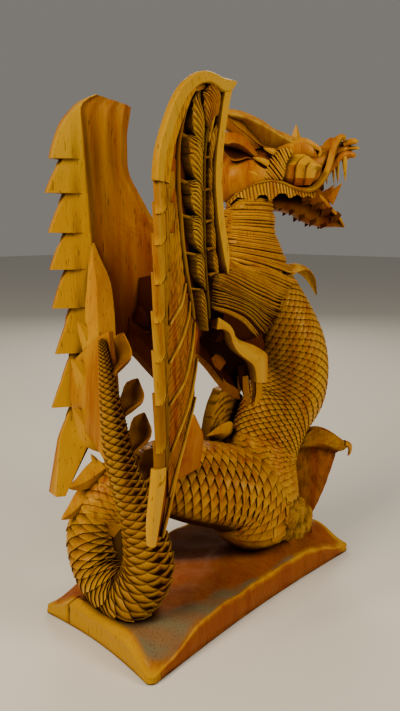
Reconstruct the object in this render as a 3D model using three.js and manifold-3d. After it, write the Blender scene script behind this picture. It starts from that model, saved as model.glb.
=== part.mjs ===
// A winged dragon carved with its base from one block of hardwood.
// Millimetres, +Z up. The origin is the middle of the base's underside, +X is the way
// the dragon's chest faces and +Y is its left side.

import * as THREE from "three";
import { mergeVertices } from "three/addons/utils/BufferGeometryUtils.js";
import Module from "manifold-3d";

const wasm = await Module();
wasm.setup();

// ---------------------------------------------------------------- driving dimensions

// The base, as long and wide as the block it was cut from: its thickness in the middle and
// at the corners' tips, and how far the sides are hollowed.
const base = { length: 252, width: 124, thickness: 23, cornerThickness: 5, scoop: 5 };

// The body from the head joint, down the chest, along the lower coil and round the
// tail loop to the tail's tip: x, y, z and radius.
const spine = [
  [50, 3, 338, 21],
  [42, 2, 300, 21],
  [43, -3, 266, 25],
  [60, -11, 228, 32],
  [77, -19, 192, 33],
  [80, -18.5, 158, 33],
  [68, -12, 131, 31],
  [52, -10, 100, 32],
  [36, -19, 61, 36],
  [12, -15, 82, 35],
  [-22, -4, 96, 33],
  [-52, 12, 104, 28],
  [-80, 30, 95, 22],
  [-97, 36, 68, 18],
  [-101, 24, 42, 17.5],
  [-101, 2, 33, 17.5],
  [-99, -16, 38, 18.5],
  [-95, -27, 60, 18],
  [-97, -26, 88, 15],
  [-102, -20, 113, 12],
  [-106, -13, 138, 10],
  [-106, -7, 162, 8.5],
  [-104, 1, 190, 5.5],
  [-100, 12, 221, 1.5],
];

// Each wing is a slab: x and y of its outer face at the back and front, its thickness,
// how far in front of the back edge the inner face starts to slope to it, the heights of
// its feather tips, and its front edge from the beak at the top down to the lowest tip,
// as distance forwards from the back edge and height.
const wingTop = 392;
const toothDepth = 14;
const toothRise = 5;
const rightWing = {
  outward: -1,
  back: [-114, -60],
  front: [-30, -46],
  thickness: 14,
  slope: 32,
  teeth: [323, 304, 286, 263, 240, 216, 189, 158, 97],
  crown: [
    [30, 379],
    [52, wingTop],
    [74, wingTop - 3],
  ],
  edge: [
    [88, wingTop - 1],
    [79, 370],
    [75, 350],
    [75, 314],
    [81, 288],
    [84, 264],
    [66, 244],
    [52, 226],
    [38, 220],
    [36, 198],
    [29, 173],
    [17, 142],
    [8, 111],
  ],
};
const leftWing = {
  outward: 1,
  back: [-108, 61],
  front: [-30, 47],
  thickness: 14,
  slope: 32,
  teeth: [343, 320, 292, 266, 238, 204, 163, 97],
  crown: [
    [28, 385],
    [44, 388],
  ],
  edge: [
    [63, 387],
    [59, 366],
    [59, 342],
    [68, 325],
    [84, 304],
    [120, 286],
    [120, 214],
    [82, 208],
    [60, 212],
    [38, 214],
    [36, 190],
    [30, 150],
    [12, 112],
  ],
};

// The head's own axes: forward, up and to its right side, turned to the dragon's right.
const head = { joint: [76.5, -14.7, 340], turn: -36 };

// ---------------------------------------------------------------- small helpers

const v3 = (x, y, z) => new THREE.Vector3(x, y, z);

// Closed geometry to solid.
function solid(geometry) {
  const bare = geometry.clone();
  bare.deleteAttribute("normal");
  bare.deleteAttribute("uv");
  const merged = mergeVertices(bare, 1e-3);
  return new wasm.Manifold(
    new wasm.Mesh({
      numProp: 3,
      vertProperties: new Float32Array(merged.attributes.position.array),
      triVerts: new Uint32Array(merged.index.array),
    }),
  );
}

const join = (solids) => solids.reduce((whole, part) => whole.add(part));

// Rings of points, each a closed loop, skinned into one closed body with a fan at each end.
function skin(rings) {
  const sides = rings[0].length;
  const points = rings.flat();
  const centre = (ring) =>
    ring.reduce((sum, p) => sum.add(p), v3(0, 0, 0)).divideScalar(ring.length);
  const first = points.push(centre(rings[0])) - 1;
  const last = points.push(centre(rings.at(-1))) - 1;
  const index = [];
  for (let i = 0; i < rings.length - 1; i++) {
    for (let j = 0; j < sides; j++) {
      const k = (j + 1) % sides;
      const [a, b] = [i * sides + j, i * sides + k];
      index.push(a, b, a + sides, b, b + sides, a + sides);
    }
  }
  const end = (rings.length - 1) * sides;
  for (let j = 0; j < sides; j++) {
    const k = (j + 1) % sides;
    index.push(first, k, j, last, end + j, end + k);
  }
  const geometry = new THREE.BufferGeometry();
  const flat = points.flatMap((p) => [p.x, p.y, p.z]);
  geometry.setAttribute("position", new THREE.Float32BufferAttribute(flat, 3));
  geometry.setIndex(index);
  return outward(geometry);
}

// Turns a closed body's triangles round where its volume comes out negative.
function outward(geometry) {
  const p = geometry.attributes.position;
  const index = geometry.index.array;
  const [a, b, c] = [v3(), v3(), v3()];
  let volume = 0;
  for (let i = 0; i < index.length; i += 3) {
    a.fromBufferAttribute(p, index[i]);
    b.fromBufferAttribute(p, index[i + 1]);
    c.fromBufferAttribute(p, index[i + 2]);
    volume += a.dot(b.cross(c));
  }
  if (volume < 0) {
    for (let i = 0; i < index.length; i += 3) {
      [index[i + 1], index[i + 2]] = [index[i + 2], index[i + 1]];
    }
  }
  return geometry;
}

// A round limb along a smooth curve: stations are x, y, z, radius and, where the section
// is flattened, the ratio of its second half-width to its first. `side` is the direction
// that the first half-width keeps to.
function limb(stations, rings, sides, side = v3(0, 1, 0)) {
  const curve = new THREE.CatmullRomCurve3(stations.map(([x, y, z]) => v3(x, y, z)));
  const last = stations.length - 1;
  const between = (column, t) => {
    const i = Math.min(Math.floor(t * last), last - 1);
    const from = stations[i][column] ?? 1;
    const to = stations[i + 1][column] ?? 1;
    return THREE.MathUtils.lerp(from, to, t * last - i);
  };
  const loops = [];
  for (let i = 0; i <= rings; i++) {
    const t = i / rings;
    const centre = curve.getPoint(t);
    const tangent = curve.getTangent(t);
    const across = side.clone().addScaledVector(tangent, -side.dot(tangent)).normalize();
    const up = tangent.clone().cross(across);
    const radius = between(3, t);
    const ratio = between(4, t);
    const loop = [];
    for (let j = 0; j < sides; j++) {
      const angle = (2 * Math.PI * j) / sides;
      loop.push(
        centre
          .clone()
          .addScaledVector(across, radius * Math.cos(angle))
          .addScaledVector(up, radius * ratio * Math.sin(angle)),
      );
    }
    loops.push(loop);
  }
  return solid(skin(loops));
}

// A pointed thorn from the middle of its foot to its tip.
function thorn(foot, tip, radius, sides = 8) {
  const [from, to] = [v3(...foot), v3(...tip)];
  const way = to.clone().sub(from);
  const cone = new THREE.ConeGeometry(radius, way.length(), sides);
  cone.translate(0, way.length() / 2, 0);
  cone.applyQuaternion(new THREE.Quaternion().setFromUnitVectors(v3(0, 1, 0), way.normalize()));
  cone.translate(from.x, from.y, from.z);
  return solid(cone);
}

// A flat outline extruded evenly both ways from a plane: origin, two directions in the
// plane and the thickness.
function slab(shape, origin, right, up, thickness, curveSteps = 4) {
  const geometry = new THREE.ExtrudeGeometry(shape, {
    depth: thickness,
    bevelEnabled: false,
    curveSegments: curveSteps,
  });
  geometry.translate(0, 0, -thickness / 2);
  const out = right.clone().cross(up).normalize();
  geometry.applyMatrix4(new THREE.Matrix4().makeBasis(right, up, out));
  geometry.translate(origin.x, origin.y, origin.z);
  return solid(geometry);
}

// ---------------------------------------------------------------- base

// Four points with hollowed sides, its top thinning towards the corners' tips.
function makeBase() {
  const [halfX, halfY] = [base.length / 2, base.width / 2];
  const stepsPerSide = 12;
  const rim = [];
  const side = (x0, y0, x1, y1, inX, inY) => {
    for (let i = 0; i < stepsPerSide; i++) {
      const t = i / stepsPerSide;
      const hollow = base.scoop * Math.sin(Math.PI * t);
      rim.push([
        THREE.MathUtils.lerp(x0, x1, t) + inX * hollow,
        THREE.MathUtils.lerp(y0, y1, t) + inY * hollow,
      ]);
    }
  };
  side(-halfX, -halfY, halfX, -halfY, 0, 1);
  side(halfX, -halfY, halfX, halfY, -1, 0);
  side(halfX, halfY, -halfX, halfY, 0, -1);
  side(-halfX, halfY, -halfX, -halfY, 1, 0);
  const topAt = (x, y) => {
    const cornerness = Math.abs((x / halfX) * (y / halfY));
    const fall = THREE.MathUtils.smoothstep(cornerness, 0.55, 1);
    return THREE.MathUtils.lerp(base.thickness, base.cornerThickness, fall);
  };
  const ring = (scale, height) =>
    rim.map(([x, y]) => v3(x * scale, y * scale, height ?? topAt(x * scale, y * scale)));
  return solid(skin([ring(0.5, 0), ring(1, 0), ring(1), ring(0.92), ring(0.8), ring(0.5)]));
}

// ---------------------------------------------------------------- wings

// One wing: its outline in the slab's plane, with the feather tips down the back edge.
function makeWing(spec) {
  const back = v3(spec.back[0], spec.back[1], 0);
  const front = v3(spec.front[0], spec.front[1], 0);
  const right = front.clone().sub(back).normalize();
  const plane = (points) => points.map(([a, z]) => new THREE.Vector2(a, z));
  const shape = new THREE.Shape();
  const levels = spec.teeth;

  shape.moveTo(...spec.edge[0]);
  shape.splineThru(plane([...spec.crown].reverse()));
  shape.quadraticCurveTo(5, spec.crown[0][1] - 25, 0, levels[0]);
  for (let i = 1; i < levels.length; i++) {
    const notch = levels[i - 1] + toothRise;
    shape.lineTo(toothDepth, notch);
    shape.quadraticCurveTo(3, levels[i] + (notch - levels[i]) * 0.55, 0, levels[i]);
  }
  shape.splineThru(plane([...spec.edge].reverse()));

  const up = v3(0, 0, 1);
  const outer = right.clone().cross(up).normalize();
  const turned = Math.sign(outer.y * spec.outward);
  const middle = back.clone().addScaledVector(outer, (-turned * spec.thickness) / 2);
  const plate = slab(shape, middle, right, up, spec.thickness);

  // the wedge taken off the inner face towards the back edge
  const inward = outer.clone().multiplyScalar(-turned);
  const reach = spec.thickness + 6;
  const corners = [
    back.clone().addScaledVector(right, -8).addScaledVector(inward, -1.5),
    back.clone().addScaledVector(right, spec.slope).addScaledVector(inward, spec.thickness),
    back.clone().addScaledVector(right, spec.slope).addScaledVector(inward, reach),
    back.clone().addScaledVector(right, -8).addScaledVector(inward, reach),
  ];
  const loop = (z) => corners.map((c) => v3(c.x, c.y, z));
  return plate.subtract(solid(skin([loop(wingTop + 20), loop(base.thickness)])));
}

// ---------------------------------------------------------------- head

// Head axes to object axes: forward, up, right.
function onHead(forward, up, right = 0) {
  const turn = THREE.MathUtils.degToRad(head.turn);
  return [
    head.joint[0] + forward * Math.cos(turn) + right * Math.sin(turn),
    head.joint[1] + forward * Math.sin(turn) - right * Math.cos(turn),
    head.joint[2] + up,
  ];
}

const headSide = v3(
  Math.sin(THREE.MathUtils.degToRad(head.turn)),
  -Math.cos(THREE.MathUtils.degToRad(head.turn)),
  0,
);

// Stations in head axes: forward, up, right, half-width and height ratio.
const headLimb = (stations, rings, sides) =>
  limb(
    stations.map(([f, u, r, half, ratio]) => [...onHead(f, u, r), half, ratio]),
    rings,
    sides,
    headSide,
  );

function makeHead() {
  const parts = [
    // skull and snout
    headLimb(
      [
        [-52, -4, 0, 12, 1.3],
        [-38, -3, 0, 18, 1.3],
        [-20, 2, 0, 20, 1.15],
        [4, 5, 0, 20, 1.0],
        [20, 7, 0, 17, 0.85],
        [36, 14, 0, 11, 0.8],
        [50, 20, 0, 9, 0.65],
        [58, 22, 0, 5, 0.8],
      ],
      12,
      12,
    ),
    // lower jaw
    headLimb(
      [
        [-18, -16, 0, 15, 0.7],
        [4, -21, 0, 14, 0.7],
        [22, -27, 0, 10, 0.75],
        [38, -35, 0, 6, 0.8],
        [51, -42, 0, 1.5, 1],
      ],
      8,
      10,
    ),
  ];
  for (const side of [1, -1]) {
    // long leaf horn over a shorter ear, a spike on the brow and the curl of the lip
    parts.push(
      headLimb(
        [
          [8, 20, 9 * side, 3, 2],
          [-14, 28, 12 * side, 4, 2.6],
          [-34, 36, 15 * side, 3.5, 2.2],
          [-50, 43, 18 * side, 2.4, 1.6],
          [-59, 46, 19 * side, 0.8, 1],
        ],
        8,
        8,
      ),
      headLimb(
        [
          [-22, 14, 15 * side, 4, 1.8],
          [-40, 21, 19 * side, 4, 1.7],
          [-58, 23, 23 * side, 1, 1.2],
        ],
        5,
        8,
      ),
      thorn(onHead(2, 22, 8 * side), onHead(3, 38, 9 * side), 5),
      headLimb(
        [
          [20, 0, 13 * side, 5, 2],
          [33, 14, 10 * side, 4, 1.6],
          [41, 27, 8 * side, 3, 1.2],
          [45, 31, 8 * side, 2, 1],
        ],
        6,
        8,
      ),
      thorn(onHead(46, 16, 7 * side), onHead(48, -6, 7 * side), 3),
      thorn(onHead(38, 12, 8 * side), onHead(37, -7, 8 * side), 2.4),
      thorn(onHead(36, -32, 6 * side), onHead(45, -8, 7 * side), 4.5),
    );
  }
  return join(parts);
}

// ---------------------------------------------------------------- limbs, fins and thorns

function makeShoulders() {
  return join([
    // the mane round the neck
    limb(
      [
        [45, 3, 316, 23],
        [41, 0, 285, 26],
        [46, -5, 252, 34],
        [56, -10, 226, 39],
        [60, -12, 214, 37],
      ],
      8,
      14,
    ),
    // the hooked spur on the chest
    limb([[58, -22, 258, 6], [84, -28, 259, 5], [97, -32, 252, 3.5], [102, -33, 241, 1]], 8, 8),
    // the shoulders running back to the wings
    limb([[52, -8, 246, 28, 0.9], [8, -28, 240, 20, 1.4], [-42, -43, 244, 9, 2.6]], 8, 12),
    limb([[52, -4, 246, 28, 0.9], [8, 24, 240, 20, 1.4], [-42, 40, 244, 9, 2.6]], 8, 12),
  ]);
}

function makeArms() {
  const arm = (side, lift) => [
    limb(
      [
        [-50, 42 * side, 222 + lift, 12],
        [-28, 44 * side, 214 + lift, 13],
        [-6, 45 * side, 200 + lift, 11],
        [9, 46 * side, 193 + lift, 9],
        [12, 46 * side, 178 + lift, 6],
      ],
      10,
      8,
    ),
    ...[0, 1, 2].map((n) =>
      thorn(
        [11 - 9 * n, (46 - 4 * n) * side, 190 + lift],
        [9 - 12 * n, (46 - 4 * n) * side, 160 + lift + 4 * n],
        5,
      ),
    ),
  ];
  return join([...arm(-1, 0), ...arm(1, -4)]);
}

// Thorns along the tail loop, each a foot on the body and a tip.
function makeThorns() {
  const list = [
    [[-92, 31, 112], [-117, 34, 109], 9],
    [[-98, 35, 94], [-122, 38, 85], 8],
    [[-104, 37, 70], [-116, 39, 57], 7],
    [[-82, 22, 76], [-104, 20, 90], 9],
    [[-97, 16, 42], [-116, 14, 51], 8],
    [[-84, 27, 104], [-96, 34, 128], 7],
    [[2, 4, 108], [-20, 12, 142], 9],
  ];
  return join(list.map(([foot, tip, radius]) => thorn(foot, tip, radius)));
}

// The fin on the tail's end: a web from the tail to the left wing, the long leaf that
// climbs the wing and the leaf barbs on its free side.
function makeTailFin() {
  const web = new THREE.Shape();
  web.moveTo(-10, 142);
  web.lineTo(8, 124);
  web.lineTo(34, 134);
  web.lineTo(56, 150);
  web.lineTo(58, 250);
  web.lineTo(40, 288);
  web.quadraticCurveTo(10, 250, 4, 205);
  const along = v3(0.29, 0.957, 0).normalize();
  const wall = slab(web, v3(-103, 0, 0), along, v3(0, 0, 1), 12);
  const leaf = limb([[-84, 42, 286, 3], [-84, 36, 258, 9, 0.8], [-92, 22, 220, 11, 0.7]], 6, 8);
  const barbs = [
    [[-99, 4, 200], [-86, 11, 227], 10],
    [[-98, -1, 170], [-80, 5, 195], 11],
    [[-96, -6, 144], [-76, 1, 167], 11],
    [[-94, -10, 120], [-73, -2, 142], 11],
  ];
  return join([wall, leaf, ...barbs.map(([foot, tip, radius]) => thorn(foot, tip, radius, 6))]);
}

// The wave-like leaf that stands on the base under the chest, with the knob at its foot.
function makeLeaf() {
  const leaf = new THREE.Shape();
  leaf.moveTo(-22, 16);
  leaf.quadraticCurveTo(-22, 70, -11, 116);
  leaf.quadraticCurveTo(4, 128, 30, 105);
  leaf.lineTo(30, 96);
  leaf.quadraticCurveTo(18, 104, 14, 82);
  leaf.quadraticCurveTo(8, 58, -4, 40);
  leaf.lineTo(0, 16);
  const turn = THREE.MathUtils.degToRad(-40);
  const along = v3(Math.cos(turn), Math.sin(turn), 0);
  return join([
    slab(leaf, v3(98, -37.5, 0), along, v3(0, 0, 1), 14),
    limb([[32, -43, 67, 11], [40, -43.5, 61, 16.5], [50, -43.5, 54, 18], [60, -42.5, 48, 16]], 6, 10),
  ]);
}

// The lower coil's foot on the base, the leaf that stands on the coil's left side
// and the web from the right wing's long feathers to the coil.
function makeHaunch() {
  const web = new THREE.Shape();
  web.moveTo(24, 150);
  web.lineTo(37, 180);
  web.lineTo(46, 168);
  web.lineTo(58, 148);
  web.lineTo(60, 118);
  web.lineTo(22, 118);
  const leaf = new THREE.Shape();
  leaf.moveTo(16, 90);
  leaf.quadraticCurveTo(20, 128, 34, 146);
  leaf.quadraticCurveTo(44, 152, 54, 147);
  leaf.quadraticCurveTo(66, 140, 68, 126);
  leaf.lineTo(60, 90);
  return join([
    limb([[36, -19, 50, 32], [37, -20, 32, 29], [38, -21, 16, 27]], 8, 14),
    slab(leaf, v3(0, 15, 0), v3(0.99, 0.12, 0).normalize(), v3(0, 0, 1), 11),
    slab(web, v3(-92, -52, 0), v3(0.87, 0.49, 0).normalize(), v3(0, 0, 1), 7),
  ]);
}

// ---------------------------------------------------------------- the carving

const parts = [
  makeBase(),
  limb(spine, 92, 16, v3(0.25, 1, 0.1)),
  makeShoulders(),
  makeWing(rightWing),
  makeWing(leftWing),
  makeHead(),
  makeArms(),
  makeThorns(),
  makeTailFin(),
  makeLeaf(),
  makeHaunch(),
];
const floorDepth = 100;
const belowFloor = solid(
  new THREE.BoxGeometry(2 * base.length, 2 * base.length, floorDepth).translate(
    0,
    0,
    -floorDepth / 2,
  ),
);
const carving = join(parts).subtract(belowFloor);

const varnishedHardwood = new THREE.MeshStandardMaterial({
  color: "#b5741f",
  roughness: 0.38,
  metalness: 0,
});

function toMesh(name, body, material) {
  const { vertProperties, triVerts } = body.getMesh();
  const geometry = new THREE.BufferGeometry();
  geometry.setAttribute("position", new THREE.BufferAttribute(vertProperties, 3));
  geometry.setIndex(new THREE.BufferAttribute(triVerts, 1));
  geometry.computeVertexNormals();
  const mesh = new THREE.Mesh(geometry, material);
  mesh.name = name;
  return mesh;
}

const dragon = new THREE.Group();
dragon.add(toMesh("dragon_carving", carving, varnishedHardwood));

export default dragon;
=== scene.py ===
# A winged dragon carved with its base from one block of hardwood, stained and varnished.
# All shapes are worked out in millimetres, in the frame's axes, and scaled to metres once.
import math

import bmesh
import bpy
import numpy as np
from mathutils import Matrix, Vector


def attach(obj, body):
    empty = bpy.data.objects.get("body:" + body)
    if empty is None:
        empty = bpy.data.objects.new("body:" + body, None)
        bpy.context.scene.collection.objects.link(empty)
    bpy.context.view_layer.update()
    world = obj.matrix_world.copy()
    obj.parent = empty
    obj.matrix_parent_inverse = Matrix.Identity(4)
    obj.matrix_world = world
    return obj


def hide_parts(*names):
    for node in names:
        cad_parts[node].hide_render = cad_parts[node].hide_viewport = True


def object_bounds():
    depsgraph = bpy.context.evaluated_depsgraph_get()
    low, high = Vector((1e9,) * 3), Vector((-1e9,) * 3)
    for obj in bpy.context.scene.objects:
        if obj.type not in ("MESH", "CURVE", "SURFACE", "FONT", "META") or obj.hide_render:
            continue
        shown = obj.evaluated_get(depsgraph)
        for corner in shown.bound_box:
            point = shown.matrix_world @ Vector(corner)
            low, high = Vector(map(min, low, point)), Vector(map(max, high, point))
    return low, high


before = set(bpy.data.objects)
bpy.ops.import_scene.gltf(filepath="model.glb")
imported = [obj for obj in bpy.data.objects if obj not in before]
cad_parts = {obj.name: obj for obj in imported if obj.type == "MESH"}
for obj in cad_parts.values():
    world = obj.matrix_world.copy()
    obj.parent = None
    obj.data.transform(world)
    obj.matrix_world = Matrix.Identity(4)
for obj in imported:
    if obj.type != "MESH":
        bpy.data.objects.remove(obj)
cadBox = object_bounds()
print("frame loaded")

metresPerMm = 0.001
# the shares of each point: stain with painted shade, pale wood with painted highlights, warmth, chisel
# cuts and grey bloom
shareNames = ("stain", "pale", "warm", "cut", "bloom")
shells = []  # every closed shell of the carving: points, triangles and the shares of each point


studio = {
    "cameraPlace": (-0.3662, -0.3330, 0.2953),
    "cameraTilt": 78.646,  # degrees up from looking straight down
    "cameraTurn": -46.7,
    "lens": 31.9,
    "floorSize": 12.0,
    "floorColor": "#D9D6D0",
    "worldColor": "#E9E4DA",
    "worldStrength": 0.25,
    # soft boxes: name, place, the point it faces, size, power and colour
    "lights": [("key", (-1.0, 0.05, 0.95), (0, 0, 0.2), 0.5, 18, "#FFEBCB"),
               ("side", (0.35, -1.1, 0.75), (0, 0, 0.2), 0.5, 11, "#FFEFD6"),
               ("back", (0.9, 0.9, 0.9), (0, 0, 0.25), 0.6, 7, "#FFF3E0")],
}


def linear(hexColor):
    # sRGB hex to linear: each channel's standard curve
    channels = [int(hexColor[i:i + 2], 16) / 255 for i in (1, 3, 5)]
    curve = [c / 12.92 if c <= 0.04045 else ((c + 0.055) / 1.055) ** 2.4 for c in channels]
    return (*curve, 1.0)


def addNode(tree, kind, inputs=None, **settings):
    # one node with its settings; an input takes a value or another node's socket
    node = tree.nodes.new(kind)
    for name, value in settings.items():
        setattr(node, name, value)
    for name, value in (inputs or {}).items():
        if isinstance(value, bpy.types.NodeSocket):
            tree.links.new(value, node.inputs[name])
        else:
            node.inputs[name].default_value = value
    return node


def makeCamera():
    data = bpy.data.cameras.new("view")
    data.lens = studio["lens"]
    data.sensor_width = 36
    data.clip_start = 0.01
    camera = bpy.data.objects.new("view", data)
    camera.location = studio["cameraPlace"]
    camera.rotation_euler = (
        math.radians(studio["cameraTilt"]), 0, math.radians(studio["cameraTurn"]))
    bpy.context.collection.objects.link(camera)
    bpy.context.scene.camera = camera


def makeFloor():
    half = studio["floorSize"] / 2
    mesh = bpy.data.meshes.new("floor")
    corners = [(-half, -half, 0), (half, -half, 0), (half, half, 0), (-half, half, 0)]
    mesh.from_pydata(corners, [], [(0, 1, 2, 3)])
    floor = bpy.data.objects.new("floor", mesh)
    bpy.context.collection.objects.link(floor)
    material = bpy.data.materials.new("matt paper")  # gives a soft even shadow, no gloss
    material.use_nodes = True
    shader = material.node_tree.nodes["Principled BSDF"]
    shader.inputs["Base Color"].default_value = linear(studio["floorColor"])
    shader.inputs["Roughness"].default_value = 0.9
    mesh.materials.append(material)


def makeLight(name, place, target, size, power, color):
    # a square soft box at `place`, turned to face `target`
    data = bpy.data.lights.new(name, "AREA")
    data.shape = "SQUARE"
    data.size = size
    data.energy = power
    data.color = linear(color)[:3]
    light = bpy.data.objects.new(name, data)
    light.location = place
    way = np.array(target) - np.array(place)
    flat = math.hypot(way[0], way[1])
    light.rotation_euler = (math.atan2(flat, -way[2]), 0, math.atan2(way[1], way[0]) - math.pi / 2)
    bpy.context.collection.objects.link(light)


def makeWorld():
    world = bpy.data.worlds.new("studio")
    world.use_nodes = True
    sky = world.node_tree.nodes["Background"]
    sky.inputs["Color"].default_value = linear(studio["worldColor"])
    sky.inputs["Strength"].default_value = studio["worldStrength"]
    bpy.context.scene.world = world


makeCamera()
makeFloor()
makeWorld()
for light in studio["lights"]:
    makeLight(*light)
print("studio ready")


def unit(vectors):
    # each vector divided by its length
    return vectors / np.maximum(np.linalg.norm(vectors, axis=-1, keepdims=True), 1e-9)


def smoothStep(low, high, x):
    # eased step from 0 at `low` to 1 at `high`: 3 t squared less 2 t cubed
    t = np.clip((x - low) / (high - low), 0, 1)
    return t * t * (3 - 2 * t)


def smoothPath(stations, count):
    # uniform Catmull-Rom curve through the stations, then spaced evenly by its length
    s = np.array(stations, float)
    p = np.vstack([2 * s[0] - s[1], s, 2 * s[-1] - s[-2]])
    t = np.linspace(0, len(s) - 1, max(count, len(s)) * 6)
    i = np.minimum(t.astype(int), len(s) - 2)
    f = (t - i)[:, None]
    a, b, c, d = p[i], p[i + 1], p[i + 2], p[i + 3]
    curve = 0.5 * (2 * b + (c - a) * f + (2 * a - 5 * b + 4 * c - d) * f**2
                   + (3 * b - a - 3 * c + d) * f**3)
    step = np.linalg.norm(np.diff(curve[:, :3], axis=0), axis=1)
    length = np.concatenate([[0], np.cumsum(step)])
    even = np.linspace(0, length[-1], count)
    return np.stack([np.interp(even, length, column) for column in curve.T], axis=1)


def flatPath(points, count):
    # the same curve through points of two numbers each
    return smoothPath([(*point, 0) for point in points], count)[:, :2]


def pathFrames(path, side):
    # tangent by differences; across is `side` made square to it; up is their cross product
    tangent = unit(np.gradient(path[:, :3], axis=0))
    side = np.broadcast_to(np.array(side, float), tangent.shape)
    across = unit(side - np.sum(side * tangent, axis=1, keepdims=True) * tangent)
    return tangent, across, np.cross(tangent, across)


def addShell(points, triangles, stain=0.0, pale=0.0, warm=0.0, cut=0.0, bloom=0.0):
    # keeps one closed shell, turned outwards by the sign of its volume
    points = np.asarray(points, float).reshape(-1, 3)
    a, b, c = (points[triangles[:, k]] for k in range(3))
    middle = points.mean(axis=0)
    volume = np.sum((a - middle) * np.cross(b - middle, c - middle))
    if volume < 0:
        triangles = triangles[:, ::-1]
    shares = [np.broadcast_to(np.asarray(s, float).ravel(), len(points))
              for s in (stain, pale, warm, cut, bloom)]
    shells.append((points, triangles, np.stack(shares, axis=1)))


def quadsToTriangles(quads):
    # each quad is cut along the diagonal from its first corner
    return np.concatenate([quads[:, [0, 1, 2]], quads[:, [0, 2, 3]]])


def loft(grid, **shares):
    # loops of points, one after another, closed round and capped by a fan at each end
    m, n = grid.shape[:2]
    i, j = np.meshgrid(np.arange(m - 1), np.arange(n), indexing="ij")
    k = (j + 1) % n
    quads = np.stack([i * n + j, i * n + k, (i + 1) * n + k, (i + 1) * n + j], axis=-1)
    triangles = quadsToTriangles(quads.reshape(-1, 4))
    j = np.arange(n)
    k = (j + 1) % n
    last = (m - 1) * n
    first = np.stack([np.full(n, m * n), k, j], axis=1)
    end = np.stack([np.full(n, m * n + 1), last + j, last + k], axis=1)
    points = np.vstack([grid.reshape(-1, 3), grid[0].mean(axis=0), grid[-1].mean(axis=0)])
    full = {}
    for name, share in shares.items():
        share = np.broadcast_to(np.asarray(share, float), (m, n))
        full[name] = np.concatenate([share.ravel(), [share[0].mean(), share[-1].mean()]])
    addShell(points, np.concatenate([triangles, first, end]), **full)


# sections of blades and limbs: loops of (across, up) in half widths
def roundSection(count=12):
    angle = np.linspace(0, 2 * np.pi, count, endpoint=False)
    return np.stack([np.cos(angle), np.sin(angle)], axis=1)


keelSection = np.array([(1, 0), (0.5, 0.45), (0, 1), (-0.5, 0.45), (-1, 0), (-0.5, -0.45),
                        (0, -0.8), (0.5, -0.45)], float)
hoodSection = np.array([(1, -0.3), (0.85, 0.3), (0.45, 0.8), (0, 1), (-0.45, 0.8), (-0.85, 0.3),
                        (-1, -0.3), (-0.8, -0.25), (-0.35, 0.25), (0, 0.4), (0.35, 0.25),
                        (0.8, -0.25)], float)
flatSection = np.array([(1, 0.35), (0.75, 1), (-0.75, 1), (-1, 0.35), (-1, -0.35), (-0.75, -1),
                        (0.75, -1), (1, -0.35)], float)


def swept(line, across, up, section, wide, high):
    # the section at each point of a line: point + across * width + up * height
    wide, high = wide[:, None, None], high[:, None, None]
    return (line[:, None] + across[:, None] * section[None, :, :1] * wide
            + up[:, None] * section[None, :, 1:] * high)


def blade(stations, side, section=keelSection, rings=14, mirror=1, **shares):
    # A section carried along a smooth path: stations are x, y, z, half width, half height.
    # Mirror is -1 to swap the dragon's right and left.
    path = smoothPath(np.array(stations, float) * (1, mirror, 1, 1, 1), rings)
    _, across, up = pathFrames(path, side)
    wide, high = np.maximum(path[:, 3:5], 0.15).T
    grid = swept(path[:, :3], across, up, section, wide, high)
    for name, share in shares.items():
        if callable(share):
            t = np.linspace(0, 1, rings)[:, None]
            shares[name] = share(t, section[None, :, 0], section[None, :, 1])
    loft(grid, **shares)


def ridgedLeaf(place, stations, ridges, depth, slant=0.0, crown=2.0, thickness=4.0,
               ridgeHeight=0.9, acrossSteps=5, stain=0.0, pale=0.0, warm=0.0, droop=0.0):
    # A leaf on a surface, cut across by ridges: rows follow the ridges, which lean by `slant`
    # of the leaf's length from one edge to the other. `place` maps (a, b, depth) to space and
    # stations are a, b and half width. Every third row is a groove.
    path = smoothPath([(a, b, 0, w) for a, b, w in stations], 60)
    steps = np.linspace(0, 1, 60)
    way = unit(np.gradient(path[:, :2], axis=0))
    rows = 3 * ridges + 1
    edge = np.linspace(-1, 1, acrossSteps)
    r, c = np.meshgrid(np.linspace(0, 1, rows), edge, indexing="ij")
    lean = slant * ((c + 1) / 2) ** 1.3
    t = np.clip(r * (1 + abs(slant)) + (lean if slant < 0 else lean - slant), 0, 1)
    at = [np.interp(t, steps, column) for column in (path[:, 0], path[:, 1], path[:, 3])]
    wayA, wayB = (np.interp(t, steps, way[:, k]) for k in range(2))
    a = at[0] - wayB * c * at[2]
    b = at[1] + wayA * c * at[2]
    groove = (np.arange(rows) % 3 == 0)[:, None] * np.ones_like(c)
    rise = crown * (1 - c**2) - ridgeHeight * groove - droop * t
    top = place(a, b, depth - rise)
    under = place(a[:, ::-2], b[:, ::-2], depth + thickness)
    # grooves darker (stain in the cut and painted shade), and the leaf's sides and back darker still
    # as painted shade
    shade = np.clip(stain + 0.6 * groove, 0, 1)
    lower = np.full((rows, under.shape[1]), max(stain, 0.8))
    loft(np.concatenate([top, under], axis=1),
         stain=np.concatenate([shade, lower], axis=1), pale=pale, warm=warm)


base = {
    "halfLength": 126.0,
    "halfWidth": 62.0,
    "thickness": 23.0,
    "cornerThickness": 7.0,
    "cornerRadius": 7.0,
    "scoop": 5.0,  # how far each side is hollowed
    # where the top has gone grey: x, y, z, half width, ratio
    "greyPath": [(-113, 8, 0, 9, 1), (-108, -42, 0, 15, 1), (-62, -49, 0, 11, 1), (0, -54, 0, 3, 1),
                 (48, -55, 0, 2, 1)],
    "step": 4.4,  # mm between points of the rim
    "mound": (44, -22, 34, 24, 14),  # the rise under the coil: x, y, half lengths, height
    "crack": (33, 0.9),  # the crack in the back end: y and half width
}


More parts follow.
